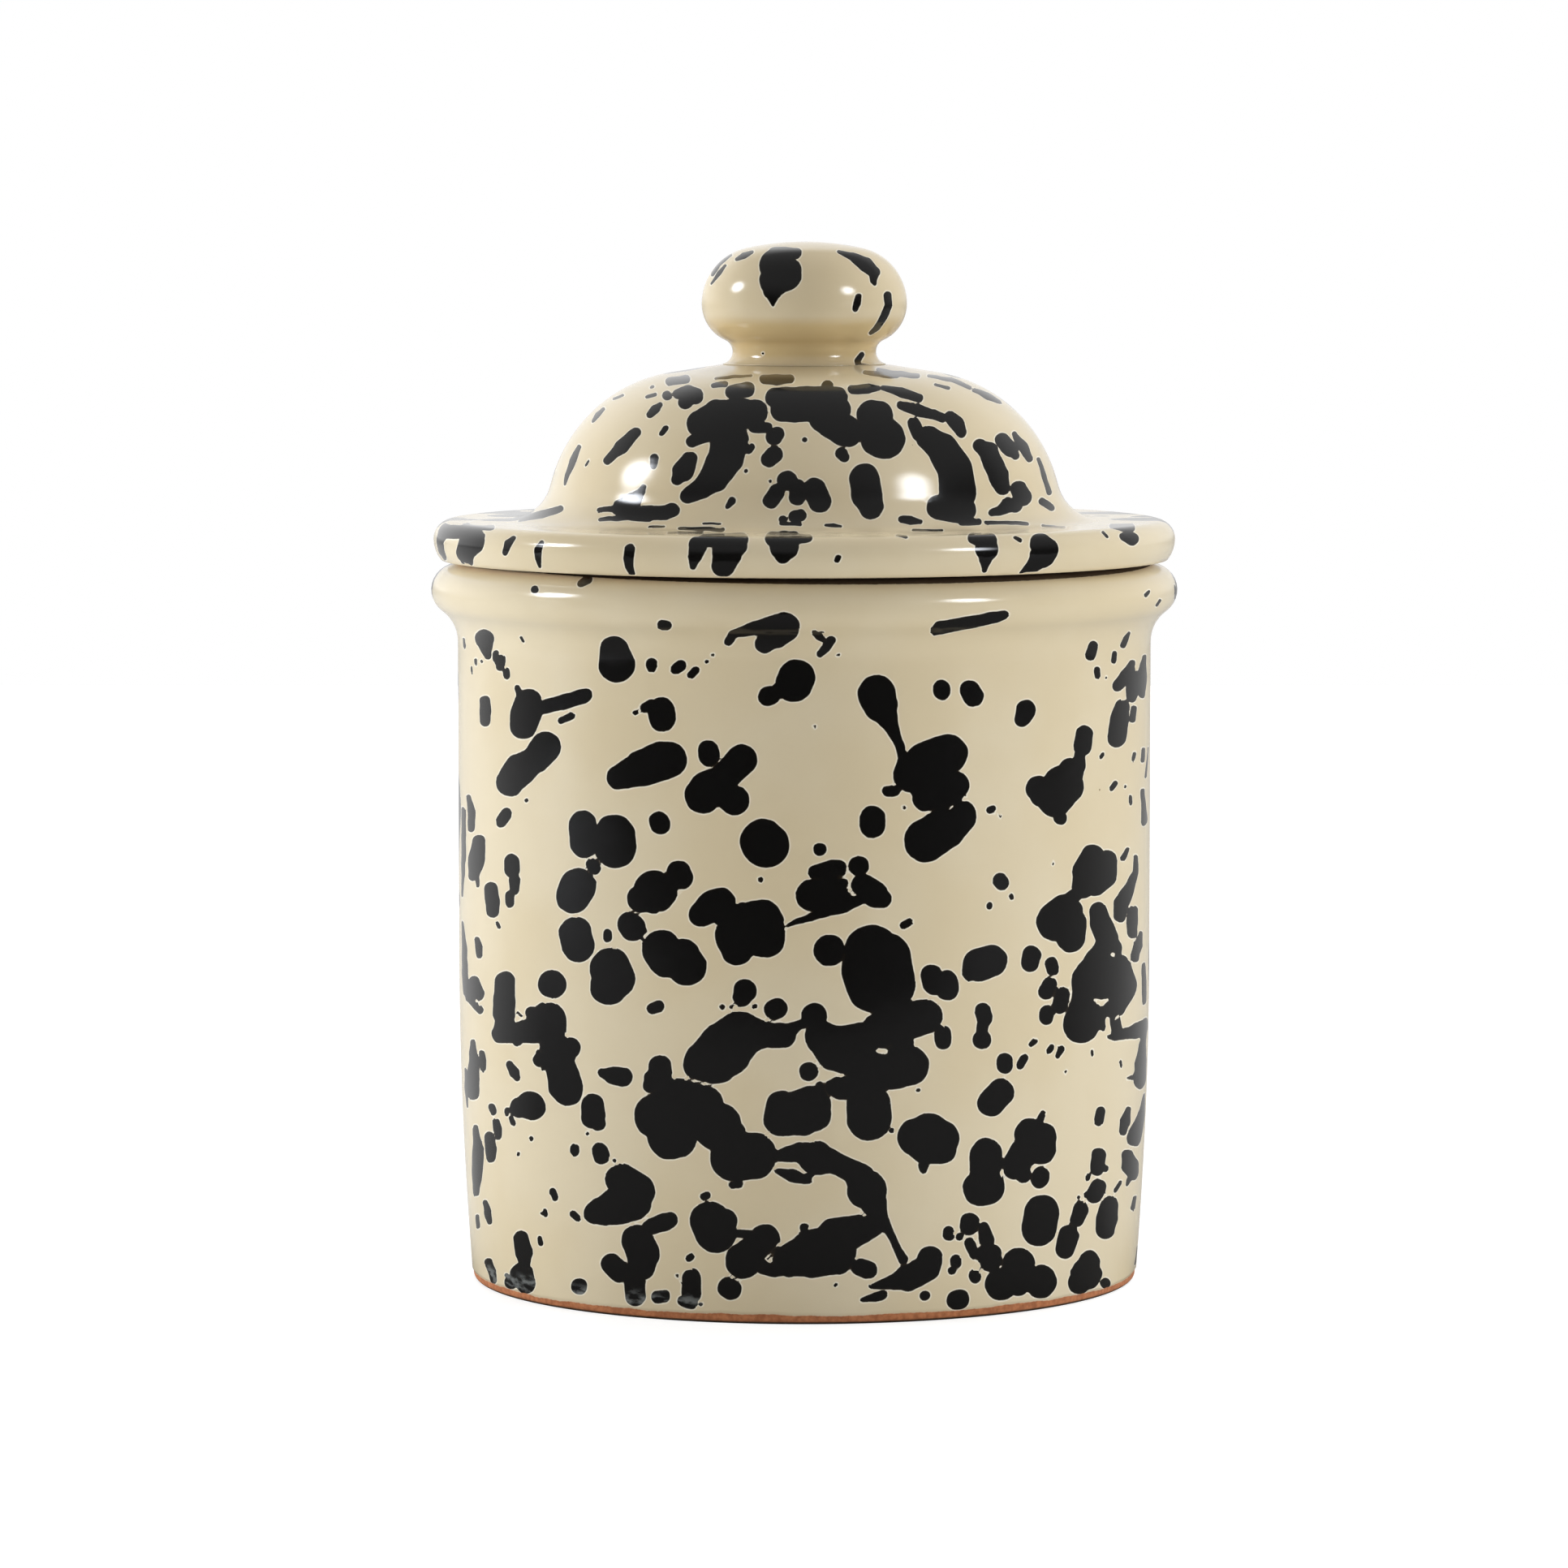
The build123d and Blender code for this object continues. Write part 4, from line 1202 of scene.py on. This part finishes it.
def splashed_glaze(name):
    material = bpy.data.materials.new(name)
    material.use_nodes = True
    tree = material.node_tree
    tree.nodes.clear()
    coords = wire(tree, "TexCoord").outputs["Object"]
    splash = wire(tree, "Attribute", attribute_name="splash").outputs["Fac"]
    bare = wire(tree, "Attribute", attribute_name="bare").outputs["Fac"]

    ragged = math(tree, "MULTIPLY_ADD", grain(tree, coords, ragged_grain), ragged_edge, -ragged_edge / 2)
    edge = math(tree, "ADD", splash, ragged)
    is_black = ease(tree, edge, *black_edge)
    is_bare = ease(tree, math(tree, "ADD", bare, math(tree, "MULTIPLY", ragged, clay_ragged)), *clay_edge)
    glaze = blend_colour(tree, is_black, cream_colour(tree, coords, edge), black_colour(tree, coords, edge))
    colour = blend_colour(tree, is_bare, glaze, clay_colour(tree, coords))

    uneven = math(tree, "MULTIPLY_ADD", grain(tree, coords, roughness_grain), roughness_spread, glaze_roughness)
    roughness = blend_value(tree, is_bare, uneven, clay_roughness)
    ripple = math(tree, "MULTIPLY", grain(tree, coords, ripple_grain), ripple_share)
    grit = math(tree, "MULTIPLY", grain(tree, coords, grit_grain, detail=4), is_bare)
    relief = {"Height": math(tree, "ADD", ripple, grit), "Distance": relief_depth, "Strength": 1.0}
    bump = wire(tree, "Bump", relief).outputs["Normal"]
    surface = {"Base Color": colour, "Roughness": roughness, "Normal": bump, "IOR": glaze_ior}
    shader = wire(tree, "BsdfPrincipled", surface)
    wire(tree, "OutputMaterial", {"Surface": shader.outputs["BSDF"]})
    return material


print("glaze ready, index of refraction %.2f" % glaze_ior)

# %% [markdown]
# Each piece gets a glaze of its own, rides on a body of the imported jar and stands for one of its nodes.

# %% Finish and place the pieces
for piece, body, node, slot in (
    (pot, "jar", "jar_body", "jar_glaze"),
    (lid, "lid", "lid", "lid_glaze"),
    (knob, "lid", "lid_knob", "knob_glaze"),
):
    piece.data.materials.append(splashed_glaze(slot))
    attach(piece, body)
    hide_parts(node)
    print(piece.name, "rides on", body, "and stands for", node)

# %% [markdown]
# ## The floor
# The photograph was taken on white paper. The paper looks white to the camera by its own glow, which is lower near
# the jar, and keeps the jar's shadow. Behind the jar it is white in the gloss too, which gives the jar its pale
# edges. In front it is dim, so the drops stay dark.

# %% How far behind the jar
room_sides = (-0.3, 0.3)
left_reach = 0.72
right_reach = 1.32


def behind_jar(tree, direction):
    """0 beside the jar and in front of it, rising behind it; the room is dimmer on the right."""
    axes = wire(tree, "SeparateXYZ", {"Vector": direction})
    reach = ramp(tree, axes.outputs["X"], *room_sides, left_reach, right_reach)
    return ramp(tree, axes.outputs["Y"], 0.0, reach)


print("the room is white %.2f behind on the left, %.2f on the right" % (left_reach, right_reach))

# %% Floor
floor_half = (1.6, 1.1, 1)
floor_middle = (0, 0.6, 0)
floor_mesh = bpy.data.meshes.new("paper_floor")
sheet = bmesh.new()
bmesh.ops.create_grid(sheet, x_segments=8, y_segments=8, size=1)
bmesh.ops.scale(sheet, vec=floor_half, verts=sheet.verts)
bmesh.ops.translate(sheet, vec=floor_middle, verts=sheet.verts)
sheet.to_mesh(floor_mesh)
sheet.free()
floor = bpy.data.objects.new("paper_floor", floor_mesh)
bpy.context.scene.collection.objects.link(floor)
print("floor of %.1f by %.1f m" % (2 * floor_half[0], 2 * floor_half[1]))

# %% Floor paper
horizon_gloss = 0.52
paper_glow = 0.81
glow_run = (0.2, 0.6)
paper_seen = (0.35, 0.35, 0.345, 1)
paper_bounce = (0.7, 0.7, 0.69, 1)
paper_mirrored = (0.12, 0.12, 0.12, 1)
floor_paper = bpy.data.materials.new("floor_paper")
floor_paper.use_nodes = True
tree = floor_paper.node_tree
tree.nodes.clear()
path = wire(tree, "LightPath")
from_jar = wire(tree, "TexCoord").outputs["Object"]
jar_distance = vector_math(tree, "LENGTH", from_jar).outputs["Value"]
jar_direction = vector_math(tree, "NORMALIZE", from_jar).outputs["Vector"]
to_camera = ramp(tree, jar_distance, *glow_run, paper_glow, 1.0)
to_gloss = math(tree, "MULTIPLY", behind_jar(tree, jar_direction), horizon_gloss)
camera_glow = math(tree, "MULTIPLY", path.outputs["Is Camera Ray"], to_camera)
gloss_glow = math(tree, "MULTIPLY", path.outputs["Is Glossy Ray"], to_gloss)
paper_colour = blend_colour(tree, path.outputs["Is Diffuse Ray"], paper_seen, paper_bounce)
paper_colour = blend_colour(tree, path.outputs["Is Glossy Ray"], paper_colour, paper_mirrored)
matte = wire(tree, "BsdfDiffuse", {"Color": paper_colour})
lit = wire(tree, "Emission", {"Strength": math(tree, "ADD", camera_glow, gloss_glow)})
both = wire(tree, "AddShader", {0: matte.outputs["BSDF"], 1: lit.outputs["Emission"]})
wire(tree, "OutputMaterial", {"Surface": both.outputs["Shader"]})
floor_mesh.materials.append(floor_paper)
print("paper glows %.2f near the jar" % paper_glow)

# %% [markdown]
# ## The lamps
# Two lamps stand square to the left and in front on the right. Each is a large soft box with a smaller bulb above
# it. The box gives the even light on the clay. The bulb fades from its middle to its rim, and is what the gloss
# shows as a soft round highlight.

# %% One lamp
lamp_distance = 1.2
lamp_white = (0.96, 1.0, 1.07)
jar_middle = Vector((0, 0, 0.11))
bulb_middle = (0.5, 0.5, 0)
bulb_fade = (0.5, 0.12)


def lamp(name, azimuth, elevation, width, power):
    """A round lamp at an azimuth from the camera's side of the jar, to the right above 0, in degrees."""
    turn_to, rise = radians(azimuth), radians(elevation)
    towards = Vector((sin(turn_to) * cos(rise), -cos(turn_to) * cos(rise), sin(rise)))
    lamp_data = bpy.data.lights.new(name, "AREA")
    lamp_data.shape = "DISK"
    lamp_data.size = width
    lamp_data.energy = power
    lamp_data.color = lamp_white
    made = bpy.data.objects.new(name, lamp_data)
    made.location = jar_middle + towards * lamp_distance
    made.rotation_euler = towards.to_track_quat("Z", "Y").to_euler()
    bpy.context.scene.collection.objects.link(made)
    return made


def soften_rim(made):
    made.data.use_nodes = True
    tree = made.data.node_tree
    across = wire(tree, "NewGeometry").outputs["Parametric"]
    from_middle = vector_math(tree, "DISTANCE", across, bulb_middle).outputs["Value"]
    tree.links.new(ease(tree, from_middle, *bulb_fade), tree.nodes["Emission"].inputs["Strength"])


print("lamps stand %.1f m from the jar" % lamp_distance)

# %% Lamps
box_elevation, box_width = 6, 0.5
bulb_elevation, bulb_width = 29, 0.42
bulb_turn = -2.5
for side, azimuth, box_power, bulb_power in (("left", -86, 11.3, 10), ("right", 56, 7.7, 7.2)):
    box = lamp(side + "_box", azimuth, box_elevation, box_width, box_power)
    box.visible_glossy = False
    bulb = lamp(side + "_bulb", azimuth + bulb_turn, bulb_elevation, bulb_width, bulb_power)
    bulb.visible_diffuse = False
    soften_rim(bulb)
    print(side, "box of", box_power, "W and bulb of", bulb_power, "W")

# %% [markdown]
# ## The room
# The room gives the clay a warm even light, and white light from behind, both level and from high up. The gloss
# shows a white backdrop behind the jar and a dim ceiling. The camera sees plain white.

# %% World
world = bpy.data.worlds.new("white_room")
bpy.context.scene.world = world
world.use_nodes = True
tree = world.node_tree
tree.nodes.clear()
path = wire(tree, "LightPath")
in_gloss = path.outputs["Is Glossy Ray"]
in_sight = path.outputs["Is Camera Ray"]
look = wire(tree, "TexCoord").outputs["Generated"]
axes = wire(tree, "SeparateXYZ", {"Vector": look})
print("world", world.name)

# %% What the gloss shows
backdrop_top = (0.95, 0.45)
floor_line = (-0.03, 0.03)
ceiling_run = (0.1, 0.7)
ceiling_gloss = 0.22
backdrop = math(tree, "MULTIPLY", behind_jar(tree, look), ease(tree, axes.outputs["Z"], *backdrop_top))
above_floor = ramp(tree, axes.outputs["Z"], *floor_line, horizon_gloss, 1.0)
ceiling = math(tree, "MULTIPLY", ease(tree, axes.outputs["Z"], *ceiling_run), ceiling_gloss)
mirrored = math(tree, "MAXIMUM", math(tree, "MULTIPLY", backdrop, above_floor), ceiling)
print("the gloss shows a ceiling of %.2f" % ceiling_gloss)

# %% What lights the clay
ambient = 0.175
backlight = 0.85
backlight_run = (0.0, 0.7)
top_light = 1.75
top_direction = (0.25, 0.54, 0.8)
top_run = (0.6, 0.95)
past_jar = ease(tree, axes.outputs["Y"], *backlight_run)
from_top = vector_math(tree, "DOT_PRODUCT", look, top_direction).outputs["Value"]
overhead = math(tree, "MULTIPLY", ease(tree, from_top, *top_run), top_light)
from_behind = math(tree, "MULTIPLY", past_jar, backlight)
scattered = math(tree, "ADD", from_behind, math(tree, "ADD", overhead, ambient))
print("the clay gets %.2f all round, %.2f from behind, %.2f from above" % (ambient, backlight, top_light))

# %% Join the light of the room
room_warm = (1, 0.87, 0.65, 1)
room_white = (1, 1, 1, 1)
strength = blend_value(tree, in_sight, blend_value(tree, in_gloss, scattered, mirrored), 1.0)
to_eye = math(tree, "ADD", in_gloss, in_sight)
is_white = math(tree, "ADD", to_eye, math(tree, "ADD", past_jar, overhead))
tint = blend_colour(tree, is_white, room_warm, room_white)
sky = wire(tree, "Background", {"Color": tint, "Strength": strength})
wire(tree, "OutputWorld", {"Surface": sky.outputs["Background"]})
bpy.context.scene.view_settings.view_transform = "Standard"
print("the room is warm by", room_warm[:3])
